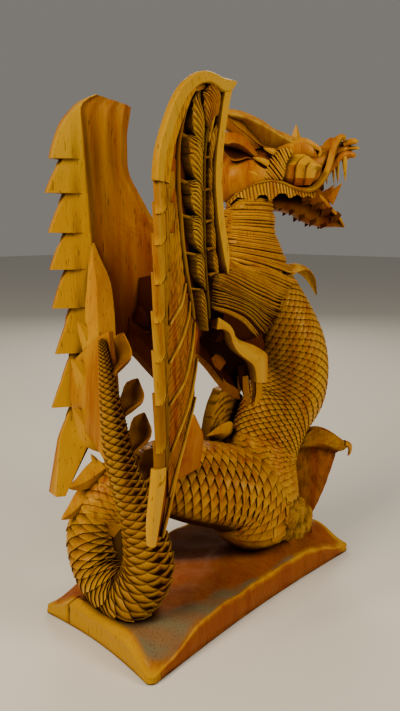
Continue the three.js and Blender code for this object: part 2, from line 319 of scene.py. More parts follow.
def makeBase():
    # Rings from the underside's middle out to the rim, up the side and back over the top. The
    # rim is a rectangle with rounded corners whose sides are hollowed by a sine; the top falls
    # towards the corners and is worked in shallow gouge facets.
    long, wide = base["halfLength"], base["halfWidth"]
    perSide = int(2 * long / base["step"])
    t = np.linspace(0, 1, perSide, endpoint=False)
    hollow = base["scoop"] * np.sin(np.pi * t)
    sides = [
        (-long + 2 * long * t, -wide + hollow),
        (long - hollow, -wide + 2 * wide * t),
        (long - 2 * long * t, wide - hollow),
        (-long + hollow, wide - 2 * wide * t),
    ]
    rim = np.concatenate([np.stack(side, axis=1) for side in sides])
    middle = np.array([long, wide]) - base["cornerRadius"]
    beyond = np.maximum(np.abs(rim) - middle, 0)
    length = np.linalg.norm(beyond, axis=1, keepdims=True)
    inCorner = (np.abs(rim) > middle).all(axis=1, keepdims=True) & (length > base["cornerRadius"])
    rounded = np.sign(rim) * (middle + beyond / np.maximum(length, 1e-6) * base["cornerRadius"])
    rim = np.where(inCorner, rounded, rim)
    outward = unit(rim)

    moundX, moundY, moundLong, moundWide, moundHigh = base["mound"]

    def topHeight(x, y):
        corner = np.abs(x / long * y / wide)
        fall = smoothStep(0.45, 0.95, corner)
        gouge = 0.35 * np.sin(x / 5.5 + 1.7 * np.sin(y / 17)) \
            * np.sin(y / 7.5 + 0.9 * np.sin(x / 23))
        swell = 1.1 * np.sin(x / 31 + 0.6) * np.sin(y / 26)
        rise = (base["thickness"] - 1.5) * (1 - fall) + base["cornerThickness"] * fall
        mound = moundHigh * np.exp(-((x - moundX) / moundLong) ** 2
                                   - ((y - moundY) / moundWide) ** 2)
        return rise + gouge * 2.2 + swell * (1 - fall) + mound

    rings, stain, pale, warm, cut, bloom = [], [], [], [], [], []

    def ring(scale, height, inset=0.0, dark=0.0, light=0.0, hue=0.0, worked=0.15):
        xy = rim * scale - outward * np.broadcast_to(inset, len(rim))[:, None]
        x, y = xy.T
        z = topHeight(x, y) if height is None else height
        rings.append(np.column_stack([xy, np.broadcast_to(z, len(xy))]))
        greyed = np.zeros(len(xy))
        if height is None:
            flat = np.column_stack([xy, np.zeros(len(xy))])
            edge = limbDistance(flat, base["greyPath"]) + 3 * np.sin(x / 7) * np.sin(y / 5)
            greyed = smoothStep(5, -5, edge) * (0.8 + 0.2 * np.sin(x / 4 + y / 6))
            # painted shadow of the coil on the top beneath it
            coilShadow = smoothStep(-22, 0, x + y) * smoothStep(-34, -24, y) * smoothStep(66, 40, x)
            dark = np.maximum(dark, 0.8 * coilShadow * smoothStep(-70, -50, x))
        for share, value in zip((stain, pale, warm, cut, bloom), (dark, light, hue, worked, greyed)):
            share.append(np.broadcast_to(value, len(xy)))

    edgeTop = topHeight(rim[:, 0], rim[:, 1])
    wave = 1.6 * np.sin(rim[:, 0] / 9 + rim[:, 1] / 13) + 1.1 * np.sin(rim[:, 0] / 3.7 - rim[:, 1] / 5)
    crackY, crackWidth = base["crack"]
    crackY = crackY + 1.5 * np.sin(rim[:, 0])
    crack = np.exp(-((rim[:, 1] - crackY) / crackWidth) ** 2) * (rim[:, 0] < -90)
    atEnd = smoothStep(110, 121, np.abs(rim[:, 0]))
    ring(0.02, 0.0)
    ring(0.6, 0.0)
    ring(0.985, 0.0, dark=0.35)
    ring(1.0, np.minimum(1.0, edgeTop * 0.2), inset=0.4, dark=0.3, hue=0.5)
    for part in np.linspace(0.12, 0.82, 6):
        bulge = 1.2 * (1 - np.sin(np.pi * part)) + 0.45 * np.sin(rim[:, 0] / 4.3 + 9 * part)
        ring(1.0, edgeTop * part, inset=bulge + 1.6 * crack, worked=0.2,
             dark=np.maximum(0.9 * crack, 0.2), hue=0.8 - 1.8 * atEnd)
    ring(1.0, edgeTop * 0.9 - 1.5 * crack, inset=1.0 + 1.5 * atEnd + crack,
         dark=np.maximum(crack, 0.12), hue=0.4 - 1.4 * atEnd)
    ring(1.0, edgeTop - 0.2 - 2 * crack, inset=2.2 + 4 * atEnd, dark=crack, light=0.12, hue=-0.5)
    ring(1.0, None, inset=4.6 + 5 * atEnd + 0.4 * wave, dark=0.15 + crack, hue=0.3)
    for scale in np.linspace(0.9, 0.06, 23):
        ring(scale, None, inset=0.2 * wave * scale, dark=0.08, hue=0.8, worked=0.5)
    loft(np.stack(rings), stain=np.stack(stain), pale=np.stack(pale), warm=np.stack(warm),
         cut=np.stack(cut), bloom=np.stack(bloom))


body = {
    # from the head joint, down the chest, along the lower coil and round the tail loop
    "spine": [
        (50, 3, 338, 21), (42, 2, 300, 21), (43, -3, 266, 25), (60, -11, 228, 32),
        (77, -19, 192, 33), (80, -18.5, 158, 33), (68, -12, 131, 31), (52, -10, 100, 32),
        (36, -19, 61, 36), (12, -15, 82, 35), (-22, -4, 96, 33), (-52, 12, 104, 28),
        (-80, 30, 95, 22), (-97, 36, 68, 18), (-101, 24, 42, 17.5), (-101, 2, 33, 17.5),
        (-99, -16, 38, 18.5), (-95, -27, 60, 18), (-97, -26, 88, 15), (-102, -20, 113, 12),
        (-106, -13, 138, 10), (-106, -7, 162, 8.5), (-104, 1, 190, 5.5), (-100, 12, 221, 1.5),
    ],
    "side": (0.25, 1, 0.1),
    # Each stretch of scales: its first and last station, rows along it and half scales around
    # it, the rise of a scale's free end and its crown in mm, how far an edge's middle bows
    # towards the free end, which way the free ends lie, and the wood's paleness and warmth.
    "chest": {"first": 1.85, "last": 7.3, "rows": 64, "around": 46, "rise": 1.1, "crown": 0.4,
              "bow": 0.13, "freeEnd": "tail", "paleness": 0.22, "warmth": -0.15},
    "coil": {"first": 6.6, "last": 12.6, "rows": 74, "around": 24, "rise": 1.9, "crown": 0.6,
             "bow": 0.13, "freeEnd": "down", "paleness": 0.22, "warmth": 0.0},
    "tail": {"first": 11.7, "last": 23, "rows": 108, "around": 12, "rise": 1.25, "crown": 0.15,
             "bow": -0.06, "freeEnd": "tail", "paleness": 0.1, "warmth": -0.45},
    # how dark the chest's back is (painted shade and stain), and the tail's outer side and underside
    # (painted shade)
    "chestShadeAndAge": 0.2,
    "tailShade": 0.85,
}


def scaledTube(name, first, last, rows, around, rise, crown, bow, freeEnd, paleness, warmth):
    # A tube covered in overlapping lozenge scales. Scale (i, j) has its corners half a step
    # away along and around; its free end stands proud and a wall drops from it to the next.
    # Rows are spaced by the tube's radius, so they keep their proportions as it thins.
    whole = smoothPath(body["spine"], 900)
    index = np.linspace(0, len(body["spine"]) - 1, len(body["spine"]))
    stations = np.array(body["spine"], float)[:, :3]
    nearest = [np.argmin(np.linalg.norm(whole[:, :3] - s, axis=1)) for s in stations]
    low, high = np.interp([first, last], index, nearest)
    cut = np.linspace(low, high, 420)
    path = np.stack([np.interp(cut, np.arange(900), column) for column in whole.T], axis=1)
    _, across, up = pathFrames(path, body["side"])
    spread = np.concatenate([[0], np.cumsum(1 / path[1:, 3] ** 0.6)])
    spread *= rows / spread[-1]
    i, j = np.meshgrid(np.arange(rows + 1), np.arange(around), indexing="ij")
    chosen = (i + j) % 2 == 0
    ci, cj = i[chosen], j[chosen]
    lookup = -np.ones((rows + 2, around), int)
    lookup[ci, cj] = np.arange(len(ci))
    s, t = np.meshgrid([0, 0.5, 1], [0, 0.5, 1], indexing="ij")
    bowT = bow * ((s == 0.5) & (t != 0.5))
    bowS = bow * ((t == 0.5) & (s != 0.5))
    di = s + t - 1 + bowT + bowS
    dj = t - s + (bowT - bowS if freeEnd == "tail" else 0)
    along = np.clip(ci[:, None, None] + di, 0, rows)
    turn = 2 * np.pi * (cj[:, None, None] + dj) / around
    fade = np.clip(np.minimum(along, rows - along) / 2, 0, 1)

    def surface(along, turn, height):
        at = [np.interp(along, spread, column)[..., None] for column in
              (*path[:, :3].T, path[:, 3], *across.T, *up.T)]
        centre = np.concatenate(at[:3], axis=-1)
        ring = np.cos(turn)[..., None] * np.concatenate(at[4:7], axis=-1) \
            + np.sin(turn)[..., None] * np.concatenate(at[7:10], axis=-1)
        return centre + ring * (at[3] + height[..., None]), ring

    flat, normal = surface(along, turn, np.zeros_like(along))
    if freeEnd == "tail":
        free = s + t - 1
    else:  # the free end is the scale's lowest corner, and under the body there is none
        middle = flat[:, 1:2, 1:2]
        drop = middle[..., 2] - flat[..., 2]
        free = drop / np.maximum(np.abs(drop).max(axis=(1, 2), keepdims=True), 1e-6)
        size = np.abs(flat[:, 0, 2] - flat[:, 2, 0])[:, 2] / 14
        free = free * np.clip(size, 0.25, 1)[:, None, None]
        under = smoothStep(-0.5, -0.72, normal[..., 2])
        fade = fade * (1 - under)
    pillow = crown * 4 * (s * (1 - s) + t * (1 - t))
    height = fade * (rise * (free * np.ones_like(along)) + pillow)
    points, _ = surface(along, turn, height)
    tucked = -free * np.ones_like(along)
    rim = (np.maximum(s, t) == 1) * np.ones_like(along)
    x, y, z = np.moveaxis(flat, -1, 0)
    # painted shade on the chest's back and on the tail's outer side and underside: darker and warmer
    # there, with the scales' rims paler as painted highlight; the loop's lower part is darker too
    onChest = smoothStep(0.2, -0.5, normal[..., 0]) * smoothStep(248, 215, z) \
        * smoothStep(90, 125, z)
    tailShadowSide = smoothStep(0.05, 0.42, 0.69 * normal[..., 0] - 0.73 * normal[..., 1]) \
        * smoothStep(24, 10, y) * smoothStep(215, 170, z)
    tailShadowSide = np.maximum(tailShadowSide, smoothStep(-0.55, -0.85, normal[..., 2]))
    shadeAndAge = {"chest": body["chestShadeAndAge"] * onChest, "coil": 0, "tail": body["tailShade"] * tailShadowSide}[name]
    onLoop = (name == "tail") * smoothStep(-84, -100, x) * smoothStep(125, 90, z)
    # each scale darker at its tucked end (stain in the groove and painted shade under the scale above)
    # and paler at its free end (painted highlight)
    stain = np.clip(0.08 + 0.22 * onLoop + 0.75 * tucked + shadeAndAge * (1 - 0.8 * rim), 0, 1)
    pale = np.clip(paleness - 0.32 * tucked + 0.4 * shadeAndAge * rim, 0, 0.5)
    warm = warmth + 0.5 * shadeAndAge
    # painted shade under the coil, where its scales fade out
    if freeEnd == "down":
        stain = np.maximum(stain, 0.92 * under)
    grid = np.arange(9).reshape(3, 3)
    quads = np.stack([grid[:-1, :-1], grid[1:, :-1], grid[1:, 1:], grid[:-1, 1:]], axis=-1)
    tops = (np.arange(len(ci))[:, None, None] * 9 + quads.reshape(1, 4, 4)).reshape(-1, 4)
    walls = []
    for step, mine, theirs in ((1, grid[:, 2], grid[:, 0]), (-1, grid[2, :], grid[0, :])):
        inside = ci < rows
        other = lookup[np.minimum(ci + 1, rows + 1), (cj + step) % around]
        keep = inside & (other >= 0)
        a = np.arange(len(ci))[keep, None] * 9 + mine
        b = other[keep, None] * 9 + theirs
        pairs = np.stack([a[:, :-1], a[:, 1:], b[:, 1:], b[:, :-1]], axis=-1).reshape(-1, 4)
        walls.append(pairs if step == 1 else pairs[:, ::-1])
    count = len(points.reshape(-1, 3))
    triangles = quadsToTriangles(np.concatenate([tops, walls[0][:, ::-1], walls[1][:, ::-1]]))
    ends = []  # a fan closes each end, from its middle to the edges of its row of scales
    for n, (row, corners) in enumerate(((0, [6, 3, 0, 1, 2]), (rows, [6, 7, 8, 5, 2]))):
        ids = np.flatnonzero(ci == row)
        border = ids[:, None] * 9 + np.array(corners)
        centre = np.full((len(ids), 4), count + n)
        fan = np.stack([centre, border[:, :-1], border[:, 1:]], axis=-1).reshape(-1, 3)
        ends.append(fan if n else fan[:, ::-1])
    middles = np.array([path[0, :3], path[-1, :3]])
    allPoints = np.vstack([points.reshape(-1, 3), middles])
    shade = np.concatenate([stain.ravel(), [0.5, 0.5]])
    light = np.concatenate([pale.ravel(), [0, 0]])
    hue = np.concatenate([(warm * np.ones_like(along)).ravel(), [0, 0]])
    addShell(allPoints, np.concatenate([triangles, *ends]), stain=shade, pale=light, warm=hue)


def makeBody():
    for name in ("chest", "coil", "tail"):
        scaledTube(name, **body[name])


mane = {
    # limbs under the strands: x, y, z, radius and how much taller than wide
    "neck": [(46, 1, 334, 11, 1), (47.5, 0, 318, 17.5, 1), (43.5, 0, 300, 22, 1),
             (41, 0, 285, 25, 1), (46, -5, 252, 32, 1), (56, -10, 230, 36, 1), (60, -12, 214, 34, 1)],
    "rightLimb": [(52, -8, 244, 26, 0.9), (8, -28, 237, 18.5, 1.5), (-44, -43, 241, 8, 2.9)],
    "leftLimb": [(52, -4, 244, 26, 0.9), (8, 24, 235, 18.5, 1.5), (-44, 40, 239, 8, 2.9)],
    # guide strands of the right side, from the nape or the wing to the chest, top to bottom
    "guides": [
        [(27, 2, 318), (30, -10, 318.5), (40, -18, 319), (52, -18, 318), (62, -9, 317), (66, 3, 316)],
        [(18, -1, 299), (27, -17, 298.5), (40, -24, 298), (52, -22, 297.5), (62, -13, 296.5),
         (68, 2, 295)],
        [(16, -3, 290), (24, -19, 287.5), (36, -27, 286.5), (48, -27, 285), (60, -18, 283),
         (68, 0, 280)],
        [(15, -4, 281), (23, -20, 278.5), (33, -29, 276.5), (46, -31, 274.5), (60, -25, 272),
         (72, -8, 268)],
        [(14, -6, 273), (20, -23, 270.5), (28, -31, 267.5), (37, -36, 263), (50, -38, 257),
         (66, -34, 252)],
        [(-13, -37, 269), (0, -38, 266), (11, -39, 263), (22, -40, 260), (34, -41, 255),
         (50, -41, 248)],
        [(-40, -47, 264), (-30, -48, 260.5), (-16, -48, 254), (2, -47, 247), (22, -44, 241),
         (40, -42, 237)],
        [(-46, -49, 258), (-34, -50, 253), (-18, -49, 248), (-2, -48, 241), (10, -46, 235.5),
         (36, -40, 228)],
        [(-47, -50, 251), (-32, -50, 247.5), (-18, -50, 243), (-6, -48, 238), (6, -46, 231),
         (28, -40, 222)],
        [(-47, -50, 245), (-35, -51, 242), (-22, -50, 238), (-11, -48, 233), (2, -44, 225),
         (24, -37, 214)],
        [(-47, -50, 239), (-40, -51, 236.5), (-32, -50, 233), (-22, -48, 228.5), (-12, -45, 222),
         (2, -40, 212)],
    ],
    "between": (14, 8, 8, 8, 10, 9, 6, 4, 4, 3),  # strands from one guide to the next
    "strandWidth": 1.25,
    "strandHeight": (0.75, 1.7),  # on the neck, and at the bold ends over the shoulder
    "startBack": 9.0,  # how far behind its guide's first point a strand begins, mm
    "seed": 7,
}


def limbDistance(points, stations):
    # distance to a chain of tapering limbs; heights are squashed by each limb's own ratio
    best = np.full(points.shape[:-1], 1e9)
    nodes = np.array(stations, float)
    for a, b in zip(nodes[:-1], nodes[1:]):
        way = b[:3] - a[:3]
        t = np.clip(((points - a[:3]) @ way) / (way @ way), 0, 1)[..., None]
        at = a + (b - a) * t
        gap = points - at[..., :3]
        gap = gap / np.concatenate([np.ones_like(t), np.ones_like(t), at[..., 4:5]], axis=-1)
        best = np.minimum(best, np.linalg.norm(gap, axis=-1) - at[..., 3])
    return best


def blended(points, chains, soft=7.0):
    # smooth union of the chains: the smaller distance, eased where two are alike
    total = limbDistance(points, chains[0])
    for chain in chains[1:]:
        other = limbDistance(points, chain)
        h = np.clip(0.5 + 0.5 * (other - total) / soft, 0, 1)
        total = other * (1 - h) + total * h - soft * h * (1 - h)
    return total


def settle(points, chains, clearance=0.0):
    # moves points along the slope of the distance until they lie on the blended limbs
    step = 0.25
    offsets = np.eye(3) * step
    for _ in range(8):
        slope = unit(np.stack([blended(points + o, chains) - blended(points - o, chains)
                               for o in offsets], axis=-1))
        points = points - slope * (blended(points, chains) - clearance)[..., None]
    return points, slope


strandSection = np.array([(1, -0.8), (0.7, 0.25), (0.1, 1), (-0.55, 0.6), (-1, -0.8),
                          (0, -1.2)], float)


def makeMane():
    # Strands are tapered ribbons that lie on the neck and shoulders. Guides give their course,
    # the ones between are blends of two guides, and chance shifts, shortens and thins them.
    random = np.random.default_rng(mane["seed"])
    for side, limb in ((-1, "rightLimb"), (1, "leftLimb")):
        chains = (mane["neck"], mane[limb])
        guides = []
        for guide in mane["guides"]:
            guide = np.array(guide, float)
            if side > 0:  # mirrored about the neck's own middle, which lies right of the origin
                guide[:, 1] = -guide[:, 1] - 2 - 8 * smoothStep(0, 50, guide[:, 0])
            back = guide[0] + unit(guide[0] - guide[1]) * mane["startBack"]
            guides.append(smoothPath(np.vstack([back, guide]), 22)[:, :3])
        blends = [(k + n / count, k) for k, count in enumerate(mane["between"]) for n in range(count)]
        for course, k in blends:
            share = min(max(course - k + 0.12 * random.standard_normal(), 0), 1)
            line = guides[k] * (1 - share) + guides[k + 1] * share
            lower = smoothStep(5.0, 7.5, course)
            start = random.random() * (3 if course < 6 else 0.5)
            stop = 21 - random.random() * (1.0 + 2.0 * lower)
            at = np.linspace(start, stop, 14)
            line = np.stack([np.interp(at, np.arange(22), column) for column in line.T], axis=1)
            low, high = mane["strandHeight"]
            height = (low + (high - low) * lower) * (0.75 + 0.5 * random.random())
            line, normal = settle(line, chains, 0.1 + 0.5 * random.random())
            s = np.linspace(0, 1, 14)
            taper = np.minimum(smoothStep(-0.06, 0.1, s), smoothStep(1.0, 0.86 - 0.1 * lower, s))
            line = line + normal * (2.0 * lower * smoothStep(0.75, 1, s))[:, None]
            across = unit(np.cross(np.gradient(line, axis=0), normal))
            width = mane["strandWidth"] * (0.85 + 0.3 * random.random()) * (0.15 + 0.85 * taper)
            rise = height * (0.2 + 0.8 * taper)
            grid = swept(line, across, normal, strandSection, width, rise)
            atFoot = np.array([0.7, 0.0, 0.0, 0.0, 0.7, 0.9])  # painted shade where it meets the neck
            loft(grid, stain=atFoot, warm=-0.35, pale=0.06 + 0.4 * lower * s[:, None])


def makeShoulders():
    # the dark core under the strands: round the neck, sunk where the chest's scales show
    path = smoothPath([(x, y, z, r) for x, y, z, r, _ in mane["neck"]], 40)
    _, across, up = pathFrames(path, (1, 0, 0))
    turn = np.linspace(0, 2 * np.pi, 36, endpoint=False)
    ahead = np.degrees(np.minimum(turn, 2 * np.pi - turn))
    reach = np.interp(path[:, 2], [214, 224, 230, 241, 253, 259, 265],
                      [156, 146, 133, 118, 100, 60, 0])
    sunk = smoothStep(4, -4, ahead[None, :] - reach[:, None])
    radius = path[:, 3:4] - 0.4 - 8.0 * sunk
    grid = path[:, None, :3] + radius[..., None] * (
        np.cos(turn)[None, :, None] * across[:, None] + np.sin(turn)[None, :, None] * up[:, None])
    loft(grid, stain=0.35, warm=0.3, cut=0.8)
    for limb in ("rightLimb", "leftLimb"):
        # the limb that runs back into each wing, and the smooth upper arm under it
        side = -1 if limb == "rightLimb" else 1
        stations = [(x, y, z, r * ratio - 0.4, r - 0.4) for x, y, z, r, ratio in mane[limb]]
        blade(stations, (0, 0, 1), roundSection(24), 26, stain=0.92, warm=1.0)
        blade([(-48, 36, 232, 8, 5), (-24, 35, 222, 10, 6), (0, 32, 212, 11, 7),
               (20, 27, 206, 11, 7), (36, 20, 202, 6, 5)],
              (0.2, 0, 1), roundSection(20), 26, stain=0.8, warm=1.0, mirror=side)
    # the hooked spur on the chest
    blade([(60, -22, 259, 8, 6), (73, -25, 262.5, 7, 5), (86, -27, 261, 5.2, 3.8),
           (96, -29, 253, 3.8, 2.6), (102, -31, 239, 0.5, 0.5)],
          (-0.5, 0.8, 0), hoodSection, 18, pale=0.6, warm=-0.2)


wings = {
    # x, y of the outer face at its back and front edges; outward is 1 for the dragon's left
    "right": {"outward": -1, "back": (-114, -60), "front": (-30, -46)},
    "left": {"outward": 1, "back": (-108, 61), "front": (-30, 47)},
}


def wingPlace(name):
    # maps a (forwards from the back edge), height and depth below the outer face to space
    spec = wings[name]
    back, front = np.array(spec["back"], float), np.array(spec["front"], float)
    along = unit(front - back)
    inward = np.array([-along[1], along[0]])
    inward *= -np.sign(inward[1] * spec["outward"])

    def place(a, z, depth):
        a, z, depth = np.broadcast_arrays(a, z, depth)
        xy = back + a[..., None] * along + depth[..., None] * inward
        return np.concatenate([xy, z[..., None]], axis=-1)

    return place


def wingSlab(place, heights, backEdge, frontEdge, outerDepth, innerDepth, acrossSteps, ridge,
             stain=None, pale=None, warm=None, innerStainAndShade=0.1, innerPale=0.0, innerWarm=0.35):
    # One loop a height: the outer face from back to front, then the inner face back again.
    # The edges and the ridge are functions of height, the depths functions of (a, z).
    s = np.linspace(0, 1, acrossSteps)
    z = heights[:, None] * np.ones_like(s)
    behind = np.clip(s / 0.45, 0, 1)
    before = np.clip((s - 0.45) / 0.55, 0, 1)
    a = np.where(s < 0.45, backEdge(z) * (1 - behind) + ridge(z) * behind,
                 ridge(z) * (1 - before) + frontEdge(z) * before)
    outer = place(a, z, outerDepth(a, z))
    inner = place(a[:, ::-1], z[:, ::-1], innerDepth(a[:, ::-1], z[:, ::-1]))

    def share(fn, other):
        first = fn(a, z) if callable(fn) else np.full_like(a, fn or 0.0)
        second = other(a, z)[:, ::-1] if callable(other) else np.full_like(a, other)
        return np.concatenate([first, second], axis=1)

    loft(np.concatenate([outer, inner], axis=1), stain=share(stain, innerStainAndShade),
         pale=share(pale, innerPale), warm=share(warm, innerWarm))


def along(points):
    # a smooth function of height through (a, z) points given from the top down
    path = smoothPath([(z, a, 0) for a, z in points], 160)
    order = np.argsort(path[:, 0])
    return lambda z: np.interp(z, path[order, 0], path[order, 1])


rightWing = {
    "tips": [304, 286, 263, 240, 216, 189, 158, 137],
    # the smooth band from the beak down the front edge to its point: a, z, half width
    "lead": [(83, 389, 4.5), (78.5, 378, 5), (73.8, 360, 4.6), (70.4, 343, 5), (69.4, 325, 5.2),
             (72.5, 303, 5.1), (77, 288, 5.0), (80.4, 276, 4.4), (82, 265, 0.6)],
    # the frame from the beak over the top and down the back: a, z, half width
    "frame": [(89.5, 391, 0.6), (84, 388.2, 3.6), (75, 386.6, 4.6), (66, 387.9, 4.0), (57, 388.2, 3.6),
              (47, 385.6, 3.7), (39, 381.4, 3.9), (31.3, 376, 4.2), (25.2, 369.4, 4.4),
              (20.2, 362.4, 4.4), (15.8, 354.8, 4.3), (12, 347.8, 4.2), (8.8, 340.6, 4.1),
              (6.6, 332.5, 4.0), (5.4, 322.5, 4.0)],
    # the stroked band inside the frame
    "inside": [(42, 379, 1.2), (36, 374.5, 3.4), (30.5, 368, 4.2), (25.5, 360.5, 4.4),
               (21, 352.5, 4.3),
               (17.3, 345, 4.2), (14.8, 337, 4.2), (12.6, 329, 4.6), (11.4, 322.2, 4.6)],
    # crescents of the middle column, each from the top down: a, z, half width
    "crescents": [[(44.5, 378, 0.6), (43.7, 373.5, 3.5), (44.5, 369, 5.7), (45.6, 364, 7.3),
                   (46.7, 357.5, 7.5), (48, 352.5, 5.7), (49.2, 348.5, 3.8), (50.5, 343, 0.8)],
                  [(33.6, 350.5, 0.6), (37.2, 349, 3.9), (40.6, 346, 7.1), (42.8, 343, 8.8),
                   (44, 337.5, 8.2), (45.4, 332, 6.6), (47, 327, 4.8), (48.5, 323, 2.8),
                   (50.4, 319, 0.6)],
                  [(34.1, 323.5, 0.6), (39.2, 321.5, 4.9), (42.5, 319, 7.4), (44.2, 313.5, 7.4),
                   (46, 308, 5.6), (48, 303, 3.2), (50, 298.5, 0.6)],
                  [(37.5, 302.5, 0.6), (41.5, 300.5, 4.3), (44.7, 297, 6.4), (46, 291.5, 6.2),
                   (47.8, 285.5, 4.4), (49.6, 281, 2.4), (51.7, 276.5, 0.6)],
                  [(42.2, 279.5, 0.6), (46, 277, 3.7), (48, 273.5, 5.2), (49, 268.5, 4.8),
                   (50.4, 264, 3.6), (52.1, 259.5, 1.9), (53.6, 255.5, 0.6)],
                  [(47.8, 256.5, 0.6), (50.1, 252.5, 2.6), (51.5, 248, 3.4), (52.7, 243.5, 2.8),
                   (54.5, 236, 1.8), (56, 228, 0.6)]],
    "crescentShift": 1.7,  # mm towards the front
    "crescentWidth": 0.86,  # share of the half widths above
    # small leaves of the front column, each from the top down: a, z, half width
    "beads": [[(71.5, 362, 1.4), (67, 353, 3.2), (63.5, 343, 2.2), (61.5, 334, 0.6)],
              [(62.5, 340, 0.8), (62.8, 332, 1.9), (62.5, 324, 1.7), (62.8, 316, 0.5)],
              [(62.6, 320, 0.8), (64, 312, 1.9), (64.6, 305, 1.7), (65, 297, 0.5)],
              [(64.5, 300, 0.8), (66.2, 293, 2.3), (66.8, 286, 2.2), (67.6, 279, 0.5)],
              [(66.5, 282, 0.8), (69, 276, 2.4), (70.5, 269, 2.2), (71.5, 262, 0.5)],
              [(69, 265, 0.8), (72, 259, 2.4), (72.5, 251, 2.2), (72, 243, 0.5)]],
    # the thin wall between the two columns
    "spine": [(58.5, 359, 0.7), (55.6, 351, 1.0), (53.8, 337, 1.0), (53.4, 322, 1.0), (53.4, 302, 1.0),
              (54.4, 281, 1.0), (56.2, 265, 1.1), (58.4, 250, 1.1), (60, 236, 0.7)],
    "spineWidth": 0.7,
    "cord": [(41, 379.5), (33.5, 366), (28.5, 354), (25.8, 343), (25.4, 328), (26, 315), (28, 301),
             (29.5, 288), (32, 276), (35, 264), (38.5, 252), (41.5, 238)],
    # the front limit of the back feathers at each height
    "limit": [(14, 137), (15, 158), (15, 189), (14.5, 216), (15, 240), (17, 258), (20, 276), (22, 296),
              (22, 325)],
    # front edges of the long feathers, from the cord to the back feathers; the first is only
    # where the highest one starts
    "quills": [[(23.5, 320), (22.5, 300), (21, 290), (17, 280)],
               [(30, 262), (26, 250), (20, 244), (13, 238)],
               [(34.5, 250), (33, 240), (25, 226), (12.5, 214)],
               [(40, 236), (37, 219), (29, 200), (12.5, 187)],
               [(43, 212), (37, 190), (27, 173), (13.5, 156)],
               [(41, 186), (33, 168), (23, 148), (11, 126)],
               [(26, 154), (18, 136), (11, 118), (3, 101)]],
    "frontEdge": [(80, 391), (76, 380), (74, 360), (72, 340), (72, 322), (74, 300), (74, 282),
                  (72, 266), (67, 250), (56, 236), (47, 224), (44, 214), (43, 196), (38, 179),
                  (33, 166),
                  (25, 153), (19, 143), (14.5, 127), (8, 109), (2, 99)],
    "backEdge": [(66, 390), (57, 389), (47, 386), (38, 381.5), (31, 376.5), (25, 370), (20, 363),
                 (16, 356),
                 (12.5, 349), (9, 341), (6.5, 333), (5, 322), (4, 300), (3, 280), (2.4, 260),
                 (1.8, 240),
                 (1.6, 160), (-2, 137), (-5, 104), (-6, 99)],
}


def wingSweep(place, points, high, depth, steps=50, section=flatSection, **shares):
    # a section carried along (a, z, half width) points on a wing; its flat side faces out,
    # across +1 is the left side of its course, and up +1 is towards the wing's inner face
    stations = [(*place(np.array(float(a)), np.array(float(z)), np.array(float(depth))), w, high)
                for a, z, w in points]
    origin, above = (place(np.array(0.0), np.array(0.0), np.array(d)) for d in (0.0, -1.0))
    path = smoothPath(stations, steps)
    side = np.cross(unit(np.gradient(path[:, :3], axis=0)), above - origin)
    _, across, up = pathFrames(path, side)
    grid = swept(path[:, :3], across, up, section, np.maximum(path[:, 3], 0.2), path[:, 4])
    for name, share in shares.items():
        if callable(share):
            shares[name] = share(section[None, :, 0], section[None, :, 1])
    loft(grid, **shares)


